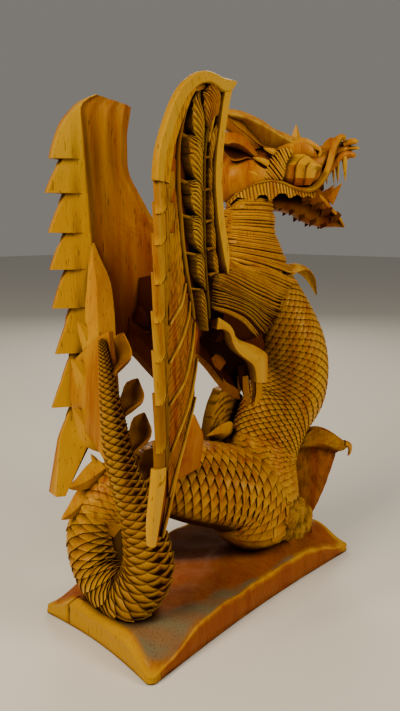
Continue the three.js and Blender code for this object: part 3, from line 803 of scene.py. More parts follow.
def makeBackFeathers(place, spec, rowsEach):
    # Each feather of the back edge is a plain strip that turns round the edge, and beside it
    # a pad cut with fine strokes. They lie on one another like shingles: the tip stands
    # proud of the next feather's root, and its front side slants back to the tip.
    # a = left edge + share of the width, depth = lift of the shingle + rounding + strokes
    tips = spec["tips"]
    limitAlong, limitUp = (np.array(v) for v in zip(*spec["limit"]))
    leftEdge = along(spec["backEdge"])
    firstTop = 322  # where the highest feather starts

    def stripAndPad(strip, pad):
        # one value for the strip's nine columns and one for the pad's eighteen
        return np.concatenate([np.full(9, strip), np.full(18, pad)])

    for k, tip in enumerate(tips):
        above = tips[k - 1] if k else firstTop
        top = above + 7
        z = top - (top - tip) * np.linspace(0, 1, rowsEach) ** 0.8
        u = (z - tip) / (top - tip)
        left = leftEdge(z) - 0.9
        limit = np.interp(z, limitUp, limitAlong)
        slant = smoothStep(-0.1, 0.75, u)
        right = left + 4.5 + 4.5 * np.sqrt(np.clip((z - tip) / 3.5, 0, 1)) + (limit - left - 9) * slant
        lift = 2.3 * u - 0.4
        rounding = np.array([(1.6, 4.6), (0.4, 3.6), (0.0, 2.3), (0.5, 1.1), (1.7, 0.35)])
        strip = np.minimum(8.6, right - left - 1.0)[:, None]
        onStrip = np.array([0.35, 0.6, 0.85, 1.0])
        groove = np.array([0.0, 0.0, 0.1, 0.75])
        onPad = np.linspace(0.08, 1, 16)
        padWidth = (right - left)[:, None] - strip
        stroke = 0.35 * (np.arange(16) % 3 == 0) * smoothStep(0.0, 0.3, u)[:, None]
        a = np.concatenate([np.broadcast_to(rounding[:, 0], (rowsEach, 5)), strip * onStrip,
                            strip + padWidth * onPad, strip + padWidth * [1.0, 0.97]], axis=1)
        dome = 0.5 * (1 - (2 * onPad - 1) ** 2)
        depth = np.concatenate([np.broadcast_to(rounding[:, 1], (rowsEach, 5)),
                                np.broadcast_to(groove, (rowsEach, 4)), 0.3 - dome + stroke,
                                np.broadcast_to([1.8, 4.6], (rowsEach, 2))], axis=1)
        # the bottom edge curves up at its front end
        drop = -2.4 * np.clip(a / 12, 0, 1) ** 2 * (1 - u[:, None])
        grid = place(left[:, None] + a, z[:, None] - drop, depth + lift[:, None])
        atTip = smoothStep(7, 1, z - tip)[:, None]
        faded = float(smoothStep(150, 180, tip))
        pale = stripAndPad(0.5, 0.1) * faded * (1 - 0.6 * atTip)
        warm = stripAndPad(-0.2, -0.45) - 0.5 * atTip
        dark = 0.12 * (1 - atTip) + 0.35 * (1 - faded)
        dark = np.clip(dark + stripAndPad(0.0, 1.2) * np.pad(stroke, ((0, 0), (9, 2))), 0, 1)
        cut = np.concatenate([np.full(5, 0.1), np.full(4, 0.35), np.full(18, 1.0)])
        loft(grid, stain=dark, pale=pale, warm=warm, cut=np.broadcast_to(cut, a.shape))
    # the last strip is plain and yellow, and ends in a slanting point
    wingSweep(place, [(3.0, 148, 6.0), (1.6, 137, 6.4), (-1.8, 122, 5.8), (-4.4, 109, 4.4),
                      (-5.6, 98.5, 1.8)], 2.6, 2.4, 16, warm=-1.0)


def makeLongFeathers(place, quills):
    # A feather fills the space from its own quill up to the one before, and dips under it.
    # Ribs run along it, a little uneven, and its quill is a raised cord on the front edge.
    curves = [flatPath(quill, 22) for quill in quills]
    c = np.linspace(0, 1, 22)
    for before, own in zip(curves[:-1], curves[1:]):
        line = own[:, None] * (1 - c)[None, :, None] + before[:, None] * c[None, :, None]
        s = np.linspace(0, 1, 22)[:, None]
        n = np.arange(22)
        rib = 0.42 * (n % 3 == 0) * (0.45 + 0.55 * np.sin(9 * s + 2.3 * n) ** 2)
        depth = 0.7 + 1.9 * c[None, :] + rib - 0.5 * np.sin(np.pi * s)
        upper = place(line[..., 0], line[..., 1], depth)
        under = place(line[:, ::-7, 0], line[:, ::-7, 1], depth[:, ::-7] + 3.0)
        shade = np.concatenate([np.clip(0.06 + 1.4 * rib, 0, 1),
                                np.full((22, under.shape[1]), 0.6)], axis=1)
        loft(np.concatenate([upper, under], axis=1), stain=shade, warm=0.15, cut=0.9)
        widths = (0.7, 1.0, 1.3, 1.3, 1.2, 0.8)
        quill = [(a, z, w) for (a, z), w in zip(own[[0, 4, 9, 14, 18, 21]], widths)]
        wingSweep(place, quill, 1.1, 0.1, 30, roundSection(8), pale=0.5, warm=-0.3)


def makeRightWing():
    spec = rightWing
    place = wingPlace("right")
    frontEdge, backEdge = along(spec["frontEdge"]), along(spec["backEdge"])
    heights = np.linspace(99, 389, 105)
    cordAlong, cordUp = (np.array(v)[::-1] for v in zip(*spec["cord"]))

    def pocketDepth(a, z):
        # full height behind the cord and in the lower part, sunk by 5.6 mm inside the frame
        inside = smoothStep(-0.5, 1.0, a - np.interp(z, cordUp, cordAlong)) * smoothStep(224, 236, z)
        return 2.6 + 5.6 * inside

    # painted shade inside the sunk pocket
    def pocketShade(a, z):
        return smoothStep(5.0, 7.0, pocketDepth(a, z)) * 0.7

    def innerFace(a, z):
        # the inner face slopes to the back edge and has two shallow flutes
        slope = np.interp(a, [-8, 0, 32], [3.6, 4.6, 14])
        slope = np.minimum(slope, 2.8 + 0.42 * np.maximum(a - backEdge(z), 0))
        return slope - 0.5 * (1 + np.cos((a - 48) / 3.0)) * (a > 38) * (a < 67)

    wingSlab(place, heights, backEdge, frontEdge, pocketDepth, innerFace, 30,
             lambda z: 0.55 * backEdge(z) + 0.45 * frontEdge(z), stain=pocketShade, warm=0.9)

    # the lead band's inner side wall is darkened as painted shade
    wingSweep(place, spec["lead"], 6.8, 7.2, pale=lambda a, u: np.where(u < -0.9, 0.12, 0.0),
              warm=lambda a, u: np.where(u < -0.9, -1.0, 0.8),
              stain=lambda a, u: np.where((a < -0.6) & (u > -0.9), 0.3, 0.0))
    wingSweep(place, spec["frame"], 2.4, 2.0, pale=lambda a, u: np.where(u < -0.5, 0.55, 0.1),
              warm=-0.8,
              stain=lambda a, u: np.where(u < -0.5, 0.0, 0.25), cut=0.15)
    wingSweep(place, spec["inside"], 1.8, 2.1, pale=0.15, warm=-0.5, cut=1.0)
    # the strip that fills the frame's top behind the beak
    wingSweep(place, [(84, 386, 2.5), (72, 386, 4), (60, 385, 4), (48, 381, 4), (38, 371, 4),
                      (32, 361, 4)], 2.0, 6.0, 40, warm=0.2, stain=0.1)

    # the round ridged shell at the top, the rough band beside it and the crescents under it
    ridgedLeaf(place, [(61.5, 386, 1.5), (62.5, 384.5, 6.3), (63.8, 382, 9.4), (64.2, 378.5, 10.6),
                       (63.6, 374, 10.2), (61.3, 369, 7.2), (59.6, 363, 4.0), (59, 356, 0.6)],
               15, 2.4, slant=0.55, thickness=5.5, acrossSteps=9, pale=0.1)
    wingSweep(place, [(70.5, 378, 0.6), (68.5, 373, 2.6), (65.5, 366, 3.0), (62.5, 358, 2.8),
                      (60, 350, 1.6)],
              2.6, 4.4, 14, roundSection(10), pale=0.35, warm=-0.6, cut=1.0)
    crescents = [[(a + spec["crescentShift"], z, spec["crescentWidth"] * w) for a, z, w in stations]
                 for stations in spec["crescents"]]
    for stations in crescents:
        ridgedLeaf(place, stations, 12, 1.4, slant=0.45, crown=1.6, thickness=6.6, ridgeHeight=1.1,
                   acrossSteps=9, pale=0.5, droop=1.0, warm=-0.35)
    for stations in spec["beads"]:
        ridgedLeaf(place, stations, 9, 2.8, slant=0.5, crown=1.3, thickness=6, ridgeHeight=0.7,
                   pale=0.25, warm=-0.4)

    # the knotted cord between the back feathers and the pockets, with a ledge at each knot
    cord = [(a, z, 1.3) for a, z in spec["cord"]]
    wingSweep(place, cord, 3.4, 3.6, 60, roundSection(8), warm=-0.2, pale=0.2, cut=0.3)
    for stations in crescents[1:]:
        aTop, top, _ = stations[0]
        at = np.interp(top, cordUp, cordAlong)
        wingSweep(place, [(at - 1, top + 1.5, 1.0), ((at + aTop) / 2, top + 0.8, 0.8),
                          (aTop + 2, top - 0.4, 0.8)],
                  3.2, 4.4, 10, roundSection(8), warm=-0.3, pale=0.2)
    for stations in spec["beads"][1:]:
        aTop, top, _ = stations[0]
        wingSweep(place, [(aTop - 8, top - 0.5, 0.9), (aTop - 4, top + 0.5, 0.9),
                          (aTop + 1, top + 1, 0.9)],
                  3.0, 4.6, 8, roundSection(8), warm=-0.2, pale=0.15)
    spine = [(a, z, spec["spineWidth"] * w) for a, z, w in spec["spine"]]
    wingSweep(place, spine, 3.4, 4.0, 60, roundSection(8), warm=-0.4, pale=0.6)
    makeBackFeathers(place, spec, 15)
    makeLongFeathers(place, spec["quills"])


leftWing = {
    # the saw's tips down the back edge, then the edge itself: distance from the back, height
    "tips": [343.5, 320.1, 292.5, 266.4, 238.3, 204.4, 163.8, 98],
    "backEdge": [(35.5, 388.5), (29.9, 385.3), (22.8, 379.9), (14.8, 371.1), (9.2, 361.3),
                 (4.8, 347.7),
                 (3.9, 343.7), (11.4, 343.3), (7.2, 335.8), (2.3, 326.1), (-0.3, 320.3), (12.6, 319.9),
                 (7.4, 308.5), (0.9, 292.7), (12.2, 292.3), (6.1, 280.5), (0.8, 266.6), (12.1, 266.2),
                 (6.3, 253.3), (1.3, 238.5), (14.3, 238.1), (9, 222), (2, 204.6), (13, 204.2),
                 (6, 185), (-2.6, 164), (11.7, 163.6), (1, 138.8), (-8, 98)],
    "frontEdge": [(66, 391), (63.5, 375), (61.5, 360), (61.5, 343), (64, 333), (69.5, 324),
                  (76, 314), (84, 303), (102, 294), (118, 284), (121, 262), (121, 235),
                  (118, 214), (100, 209), (80, 209), (62, 212), (44, 213), (37, 200),
                  (34, 180), (30, 152), (24, 138), (12, 118), (0, 98)],
    # the ridge between the saw's slope and the smooth inner face
    "ridge": [(24, 97), (33, 204), (31, 240), (28.7, 286), (26.8, 321), (24.5, 360), (23.5, 380),
              (31, 386), (36, 389)],
}


def makeLeftWing():
    # The back edge is cut as a saw: each tooth's lower end stands proud of the next one's top.
    # A ridge divides its slope from the smooth face, and the top falls towards the front.
    spec = leftWing
    wingSpace = wingPlace("left")
    tips = np.array(spec["tips"])
    heights = np.unique(np.concatenate([np.linspace(98, 388.4, 80), tips[:-1] + 0.2, tips[:-1] - 0.2]))
    frontEdge, ridgeLine = along(spec["frontEdge"]), along(spec["ridge"])
    sawAlong, sawUp = (np.array(values)[::-1] for values in zip(*spec["backEdge"]))

    def place(a, z, depth):
        return wingSpace(a, z - 0.16 * np.maximum(a - 31, 0) * smoothStep(362, 388, z), depth)

    def backEdge(z):
        return np.interp(z, sawUp, sawAlong)

    def ridge(z):
        return np.minimum(np.maximum(ridgeLine(z), backEdge(z) + 0.8), frontEdge(z) - 1)

    def toothShare(z):
        # 0 at a tooth's top and 1 at its tip
        tops = np.concatenate([[388], tips[:-1]])
        k = np.clip(np.searchsorted(-tips, -z), 0, len(tips) - 1)
        return np.clip((tops[k] - z) / (tops[k] - tips[k]), 0, 1)

    def innerFace(a, z):
        # smooth, with three shallow flutes down it and a bevel from the ridge to the back
        front = frontEdge(z)
        share = (a - ridge(z)) / np.maximum(front - ridge(z), 8)
        flat = 14 - 1.1 * (0.5 + 0.5 * np.cos(share * 3 * 2 * np.pi)) * smoothStep(0, 6, a - ridge(z))
        bevel = 14 - (ridge(z) - a) * 0.42 + 2.4 * toothShare(z) ** 1.5 * smoothStep(22, 15, a)
        nearFront = smoothStep(8, 1, front - a) * smoothStep(60, 62, front) * 2.2
        return np.maximum(np.where(a < ridge(z), bevel, flat) - nearFront, 2.2)

    def innerPale(a, z):
        strip = smoothStep(10, 4, frontEdge(z) - a) * smoothStep(316, 306, z) * smoothStep(270, 280, z)
        return np.where(a < ridge(z), 0.12 + 0.5 * smoothStep(300, 350, z), 0.05) + 0.5 * strip

    def innerWarm(a, z):
        streak = 0.35 * np.sin(a / 2.3 + 0.8 * np.sin(z / 31))
        return np.where(a < ridge(z), -0.95, 0.1 + 0.8 * smoothStep(310, 240, z) + streak)

    def innerStainAndShade(a, z):
        # painted shadow under each tooth's tip, a dark band beside the ridge, and darker lower down
        beside = 0.5 * np.exp(-((a - ridge(z) - 1.5) / 2.6) ** 2)
        ledge = 0.7 * smoothStep(0.09, 0.0, toothShare(z)) * smoothStep(19, 16, a) * (z < 343)
        return np.where(a < ridge(z), ledge, 0.1 + beside + 0.5 * smoothStep(300, 215, z))

    def outerFace(a, z):
        # long feathers slant down to the back edge: a groove between each two
        across = np.mod((z + 1.15 * a) / 27.0, 1)
        shingle = 1.6 * across + 1.0 * smoothStep(0.86, 0.93, across) * smoothStep(1, 0.94, across)
        return 0.3 + shingle * smoothStep(2, 10, a) * smoothStep(1, 8, frontEdge(z) - a)

    wingSlab(place, heights, backEdge, frontEdge, outerFace, innerFace, 34, ridge,
             stain=0.2, warm=0.2, innerStainAndShade=innerStainAndShade, innerPale=innerPale, innerWarm=innerWarm)


head = {
    "joint": (76.5, -14.7, 340),
    "turn": -36,  # degrees, to the dragon's right
    # forward, up, right, half width, half height
    "skull": [(-57, -9, 1, 9, 13), (-49, -8, 2, 17, 18), (-36, -5.5, 2, 21, 22), (-20, -1, 0, 20, 21),
              (0, 4, 0, 17.5, 18), (16, 6, 0, 14.5, 14), (28, 10, 0, 10.5, 11), (38, 15, 0, 8.5, 8),
              (48, 20, 0, 7.5, 5.5), (54, 21, 0, 5, 3.5)],
    "jaw": [(-24, -20, 0, 13, 9), (-10, -22, 0, 14, 8), (5, -24, 0, 13, 9), (17, -27, 0, 11, 12),
            (31, -34, 0, 7.5, 9.5), (44, -39, 0, 4.0, 4.5), (52, -43, 0, 0.6, 0.6)],
    # the cheek's three tiers: the back edge, then the front edge, each from the top down as
    # (forward, up), then the face's depth as (forward, right)
    "tiers": [([(1, 15.6), (-2, 14.6), (-5.2, 11.2), (-7.4, 7.6), (-8.7, 1.6), (-9.2, -8),
                (-9, -10.5)],
               [(7, 15.6), (10, 14.2), (17.5, 9.6), (24.7, 5.4), (25, 1.5), (22.4, -4), (16, -10.5)],
               [(-9, 18.0), (1, 20.2), (12, 20.2), (25, 16.0)]),
              ([(9, 12.6), (5, 10.4), (1.8, 7.6), (0.2, 4.4), (-0.5, -1), (-0.6, -10.4)],
               [(12, 12.6), (17, 8.6), (18.6, 6.6), (16, 0), (12, -10.4)],
               [(-0.6, 22.6), (8, 22.9), (19, 20.6)]),
              ([(11.4, 7.2), (9.2, 5.4), (8, 2.6), (7.5, -1), (7.4, -10.2)],
               [(14, 7.2), (19, 5.6), (24.2, 4.2), (18.6, 1.8), (15.9, -1.2), (14.8, -5),
                (12.4, -10.2)],
               [(7.4, 24.2), (10.6, 26.0), (15, 25.2), (24.2, 20.8)])],
    # the comb behind the cheek: its stripes run from the first line to the second
    "combTop": [(-37, -9), (-30.6, -4.6), (-25, 2), (-20.6, 7.8), (-13.6, 15.5), (-8.5, 17.5),
                (-4, 16.2)],
    "combFoot": [(-33, -8.6), (-25, -6.6), (-17, -6.4), (-10.6, -5.4), (-9.3, 1.3), (-7.2, 8),
                 (-2.6, 14.4)],
    "stripes": 17,
    # the frill under the lip: its upper line and its lobes' points and hollows
    "frillTop": [(-52, -22), (-44.2, -16), (-36, -11.6), (-23.7, -8.6), (-15.4, -8.8), (-8.1, -10.4),
                 (-1.7, -13.2), (5, -14.8), (13, -14.6), (18.5, -12)],
    "frillFoot": [(-53, -25.6), (-47, -20), (-39.5, -21.5), (-37.1, -25.5), (-30.5, -18.6),
                  (-24.8, -18.2),
                  (-21.7, -23.2), (-14, -17), (-8.6, -17), (-5, -20.8), (1.8, -17.6), (6.6, -20.2),
                  (11.4, -18.2), (17.6, -20.8), (19.5, -15)],
    "frillRidges": 27,
}


def headPlace(forward, up, right):
    # head axes (forward, up, to its right) to the object's axes
    forward, up, right = np.broadcast_arrays(
        np.asarray(forward, float), np.asarray(up, float), np.asarray(right, float))
    turn = math.radians(head["turn"])
    x, y, z = head["joint"]
    return np.stack([x + forward * math.cos(turn) + right * math.sin(turn),
                     y + forward * math.sin(turn) - right * math.cos(turn), z + up], axis=-1)


def headBlade(stations, across, section=keelSection, rings=16, mirror=1, **shares):
    # Stations in head axes: forward, up, right, half width and half height. Mirror is -1 for
    # the head's left side.
    points = [(*headPlace(f, u, r * mirror), w, h) for f, u, r, w, h in stations]
    origin = headPlace(0, 0, 0)
    blade(points, headPlace(*across) - origin, section, rings, **shares)


def headSkin(curves, side, rings=22, **shares):
    # a closed skin over curves that run from tip to root, in order round the section
    grid = np.stack([smoothPath(curve, rings)[:, :3] for curve in curves], axis=1)
    loft(headPlace(grid[..., 0], grid[..., 1], side * grid[..., 2]), **shares)


def makeSkull():
    headBlade(head["skull"], (0, 0, 1), roundSection(24), 34, stain=0.05)
    # the jaw darker towards its underside: painted shade
    headBlade(head["jaw"], (0, 0, 1), roundSection(20), 28, warm=0.3,
              stain=lambda t, a, u: np.clip(0.95 - 0.8 * u, 0.3, 0.98) + 0 * t)
    # the inside of the mouth and the tongue
    headBlade([(6, -9, 0, 10, 5), (18, -8, 0, 9, 7), (26, -8, 0, 6, 8), (31, -7, 0, 3, 6)],
              (0, 0, 1), roundSection(12), 10, stain=0.9, warm=0.8)
    headBlade([(4, -14, 0, 6, 2.5), (20, -17, 0, 5, 2.2), (32, -22, 0, 4, 1.6), (39, -25, 0, 1, 0.6)],
              (0, 0, 1), roundSection(10), 10, stain=0.5, warm=0.8)
    # the broad spike over the brows
    headBlade([(8, 18, 0, 7.5, 7), (7.2, 25.5, 0, 5.8, 5.4), (6.8, 32, 0, 3.0, 2.6),
               (6.8, 39, 0, 0.25, 0.3)], (1, 0, 0), keelSection, 14, pale=0.25, warm=-0.4)
    # the crest down the middle of the snout, its curled end and the ridge over the nape
    headBlade([(4, 20, 0, 5, 4), (20, 20, 0, 5, 4), (32, 20, 0, 5, 4), (38, 24, 0, 4.5, 3.5),
               (44, 30, 0, 4, 2.4), (49, 30, 0, 2.5, 2.0), (49.5, 27, 0, 0.8, 0.8)],
              (0, 0, 1), keelSection, 22, warm=0.2)
    headBlade([(-8, 22, 0, 6, 4), (-26, 19, 0, 8, 4), (-44, 12, 0, 7, 4), (-56, 4, 0, 3, 3)],
              (0, 0, 1), keelSection, 14, warm=0.2)


def makeCheek(side):
    # Three tiers, each cut in three flats: one leans up, one faces out and one leans down.
    # Rows go from the top down, close together at the flats' edges.
    for tier, (back, front, depths) in enumerate(head["tiers"]):
        (backF, backU), (frontF, frontU) = (np.array(edge)[::-1].T for edge in (back, front))
        up = np.linspace(back[-1][1], back[0][1], 15)
        awayFromEdges = np.abs(np.abs(up - 0.25) - 5.25) > 0.6
        up = np.sort(np.concatenate([up[awayFromEdges], [-5.2, -4.8, 5.3, 5.7]]))[::-1]
        first, last = np.interp(up, backU, backF), np.interp(up, frontU, frontF)
        lean = 0.62 * np.maximum(up - 5.5, 0) + 0.5 * np.maximum(-5 - up, 0)
        share = np.array([0.0, 0.0, 0.06, 0.3, 0.36, 0.65, 0.97, 1.0])
        f = first[:, None] + (last - first)[:, None] * share
        depthF, depthR = (np.array(values) for values in zip(*depths))
        out = np.interp(f, depthF, depthR) - lean[:, None] - np.array([8, 1.5, 0, 0, 0, 0, 0.3, 8])
        up = up[:, None] + 0 * f
        # painted shade at each tier's edges and on its lower front corner; the flats coloured by the
        # way they face, gold up and orange down, as painted light
        corner = smoothStep(14, 16, f) * smoothStep(0, 1.2, up) * smoothStep(4.6, 4.0, up)
        stain = np.maximum(np.array([0.9, 0.9, 0.0, 0.0, 0.0, 0.0, 0.1, 0.6]), 0.6 * corner)
        warm = np.where(up > 5.5, -0.8, np.where(up < -5, 0.6, (0.2, -0.5, -0.5)[tier]))
        pale = np.where(np.abs(up - 0.25) < 5.3, (0.0, 0.5, 0.4)[tier], 0.0)
        loft(headPlace(f, up, side * out), stain=stain, pale=pale, warm=warm)
    headBlade([(16.6, 0.6, 17, 1.5, 1.3), (17.4, 0.8, 21.5, 1.5, 1.1)], (1, 0, 0),
              roundSection(10), 3, stain=1.0, mirror=side)


def makeComb(side):
    # stripes with pointed tops, on a ground darkened as painted shade
    top, foot = flatPath(head["combTop"], 60), flatPath(head["combFoot"], 60)
    share = np.linspace(0, 59, 18).astype(int)
    ground = np.stack([top, (top + foot) / 2, foot, (top + foot) / 2], axis=1)[share]
    depth = np.array([17.5, 19.2, 18.5, 12.0])
    loft(headPlace(ground[..., 0], ground[..., 1], side * depth), stain=0.95)
    for at in np.linspace(1, 58, head["stripes"]).astype(int):
        a, b = top[at], foot[at]
        way = b - a
        stations = [(*(a - 0.10 * way), 19.6, 0.2, 0.3), (*(a + 0.12 * way), 20.4, 0.75, 0.9),
                    (*(a + 0.6 * way), 20.8, 0.85, 1.0), (*(b + 0.02 * way), 20.2, 0.7, 0.9)]
        headBlade(stations, (way[1], -way[0], 0), strandSection, 7, pale=0.3, warm=-0.3, mirror=side)
    # small leaf points behind it, each over a dark blade of painted shadow: forward, up, to the right,
    # length
    for f, u, right, long in ((-19.5, 15.5, 18.4, 6), (-27.5, 8, 20.6, 7), (-35, -1.5, 21.6, 7)):
        headBlade([(f + 5, u - 3, right - 0.8, 3.4, 2.0), (f, u - 0.5, right, 2.6, 2.0),
                   (f - long, u + 2.5, right - 1.4, 0.3, 0.4)],
                  (0, 1, 0), keelSection, 8, warm=-0.6, pale=0.15, mirror=side)
        headBlade([(f + 4, u - 5.6, right - 0.6, 1.8, 1.2), (f - 0.1 * long, u - 3.2, right, 1.7, 1.1),
                   (f - 0.8 * long, u - 0.2, right - 1, 0.3, 0.6)],
                  (0, 1, 0), roundSection(8), 7, stain=1.0, mirror=side)


def makeFrill(side):
    # columns of a hanging frill: a groove and two crests to each ridge, from the lip's line
    # down to the lobes, flaring outwards as it goes
    columns = 3 * head["frillRidges"] + 1
    s = np.linspace(0, 1, columns)
    top = flatPath(head["frillTop"], columns)
    corners = np.array(head["frillFoot"], float)
    length = np.concatenate([[0], np.cumsum(np.abs(np.diff(corners[:, 0])) + 0.3)])
    foot = np.stack([np.interp(s * length[-1], length, corners[:, k]) for k in range(2)], axis=1)
    down = np.array([0.0, 0.35, 0.7, 1.0])
    line = top[:, None] * (1 - down)[None, :, None] + foot[:, None] * down[None, :, None]
    groove = (np.arange(columns) % 3 == 0)[:, None]
    near = np.interp(top[:, 0], [-52, -44, -36, -20, -5, 8, 18],
                     [17, 20.5, 23.4, 23.4, 22, 20, 16])
    depth = near[:, None] + 1.6 * down - 0.8 * groove * (down < 0.95)
    front = headPlace(line[..., 0], line[..., 1], side * depth)
    behind = headPlace(line[:, ::-1, 0], line[:, ::-1, 1] + 0.6, side * (depth[:, ::-1] - 3.5))
    behind = behind[:, [0, 3]]
    shade = np.concatenate([np.where(groove, 0.85, 0.0) * np.ones((1, 4)),
                            np.ones((columns, 2))], axis=1)
    loft(np.concatenate([front, behind], axis=1), stain=shade, pale=0.25, warm=-0.25)


def makeHorn(side):
    # A long leaf: a narrow upper face, a sharp outer edge, and a hollowed inner face with a
    # crease that runs down it. Curves go from the tip to the root.
    upper = [(-60, 48, 15), (-52.7, 47.1, 12.5), (-40.6, 45.4, 12), (-25.3, 39.4, 12),
             (-14.9, 33.3, 11.5),
             (-3.4, 29.6, 10.5), (7, 24, 9)]
    edge = [(-60, 47.5, 15.6), (-53.8, 42.4, 18), (-42, 40.2, 19), (-34.8, 37.8, 19),
            (-24.6, 33.4, 18.5),
            (-12, 27.4, 17), (3, 21, 14)]
    innerEdge = [(-60, 47.3, 15.5), (-53.8, 41.4, 17.5), (-42, 39.0, 18), (-34.8, 36.6, 18),
                 (-24.6, 32.2, 17.5), (-12, 26.2, 16), (3, 20, 13.4)]
    crease = [(-60, 47, 15.2), (-53.4, 40.6, 15.2), (-42.1, 37.4, 14.2), (-37, 32.4, 12.6),
              (-31, 27, 12.2),
              (-25, 20.8, 13), (-14, 18.6, 13.2), (3, 17, 11.6)]
    lower = [(-60, 46.6, 15), (-52.6, 38.8, 15.4), (-41.4, 29.8, 16.4), (-30.1, 21.4, 16.8),
             (-22.8, 18.4, 16), (-8, 16.6, 14), (4, 15.5, 10.5)]
    backLower = [(-60, 46.8, 14.6), (-52, 39, 10.5), (-41, 31, 9.5), (-30, 23, 9), (-20, 17, 9),
                 (3, 15, 7)]
    backUpper = [(-60, 47.6, 14.6), (-52, 45.5, 9.8), (-40, 43, 8), (-25, 36.5, 7), (-12, 30, 6),
                 (6, 22, 5)]
    # the sharp edge paler as a painted highlight; the hollow and crease darker as painted shade
    headSkin([upper, edge, innerEdge, crease, lower, backLower, backUpper], side, 26,
             stain=np.array([0.0, 0.0, 0.35, 0.75, 0.25, 0.4, 0.1]), warm=-0.2,
             pale=np.array([0.1, 0.95, 0.2, 0.0, 0.2, 0.0, 0.0]))


def makeEar(side):
    # a cupped ear: a smooth back, a sharp edge, and a hollow darkened as painted shade over a thin
    # lower rim
    top = [(-64, 24, 22), (-57.4, 28.3, 20), (-48.5, 28, 19.5), (-40.4, 24.6, 19),
           (-34.3, 17.7, 18), (-27, 11, 15)]
    edge = [(-64, 23.6, 22.6), (-57.8, 19.4, 24.5), (-51.5, 20.4, 24.5), (-45, 19.0, 23.5),
            (-37.8, 14.8, 21),
            (-29, 8.6, 17)]
    hollow = [(-64, 23, 22), (-57, 18.4, 16), (-51, 17.6, 15), (-45, 16, 15), (-38, 12.6, 16),
              (-29, 8, 15)]
    rimIn = [(-64, 22.8, 22), (-57, 14.6, 18), (-51, 10, 18), (-45, 9.8, 18), (-38, 11, 18),
             (-29, 7.4, 16)]
    rim = [(-64, 22.5, 21.6), (-57, 12.8, 19.5), (-51, 7.8, 19.5), (-45, 8, 19.5),
           (-38, 9.8, 19), (-29, 6.6, 16.6)]
    back = [(-64, 23, 21), (-56, 13, 14), (-50, 8, 13), (-44, 8, 12), (-36, 11, 12), (-28, 9, 12)]
    backTop = [(-64, 24, 21.2), (-56, 26, 16), (-48, 26, 14), (-40, 23, 13), (-33, 16, 12),
               (-27, 11, 12)]
    headSkin([top, edge, hollow, rimIn, rim, back, backTop], side, 22,
             stain=np.array([0.05, 0.0, 1.0, 0.9, 0.0, 0.2, 0.1]), warm=0.6,
             pale=np.array([0.0, 0.2, 0.0, 0.0, 0.25, 0.0, 0.0]))


def makeLip(side):
    # one ridge from the nape, under the cheek and up to the nose, where it widens and curls
    ridge = [(-53, -23, 17), (-44.2, -15.3, 20.6), (-36, -10.9, 23.6), (-23.7, -7.9, 24),
             (-12, -8.7, 23.5),
             (-4, -11.6, 23), (4, -13.9, 22.4), (13.1, -13.6, 21.4), (20.4, -10.2, 19.5),
             (27.6, -2.8, 17.5),
             (32.3, 6, 15.5), (35, 14.3, 14), (37.3, 22.1, 13), (40.8, 27.5, 12), (44.5, 28.8, 11),
             (45.6, 26.2, 10.5)]
    inside = [(-53, -22.6, 16), (-44, -13.6, 17.5), (-36, -9, 19), (-24, -6, 20), (-12, -6.8, 20),
              (-4, -9.6, 20), (4, -11.8, 20), (12, -11.4, 19.4), (18, -8.4, 18), (24, -1.4, 15.5),
              (28, 5, 13.5), (30.3, 12, 12), (32.5, 20, 11), (35.5, 26.9, 10.5), (41.5, 31.2, 10),
              (46.5, 30, 9.5)]
    behind = [(-53, -23.2, 14), (-44, -16, 14), (-36, -12, 14), (-24, -9, 14), (-12, -10, 14),
              (-4, -12, 14),
              (4, -14, 14), (13, -14, 14), (20, -10, 13), (26.5, -3, 11), (31, 6, 9), (33, 14, 8.5),
              (35, 21, 8), (38.5, 25.5, 7.5), (43, 28, 7.5), (44.5, 27, 8)]
    under = [(-53, -23.8, 16), (-44, -16.8, 19), (-36, -12.4, 21.6), (-24, -9.4, 22),
             (-12, -10.4, 21.4),
             (-4, -13.4, 21), (4, -16, 20.4), (13.6, -15.8, 19.4), (21.8, -12, 17.4), (29.4, -4, 15.4),
             (34.4, 5, 13), (37, 14, 11.6), (39.4, 21.4, 10.6), (42, 25.4, 9.6), (44.6, 26.2, 9.2),
             (45, 25.4, 9.4)]
    # the ridge paler as a painted highlight, and the side under it darker as painted shade
    headSkin([ridge, inside, behind, under], side, 64, warm=-0.1,
             stain=np.array([0.0, 0.12, 0.2, 0.5]), pale=np.array([0.55, 0.05, 0.0, 0.1]))


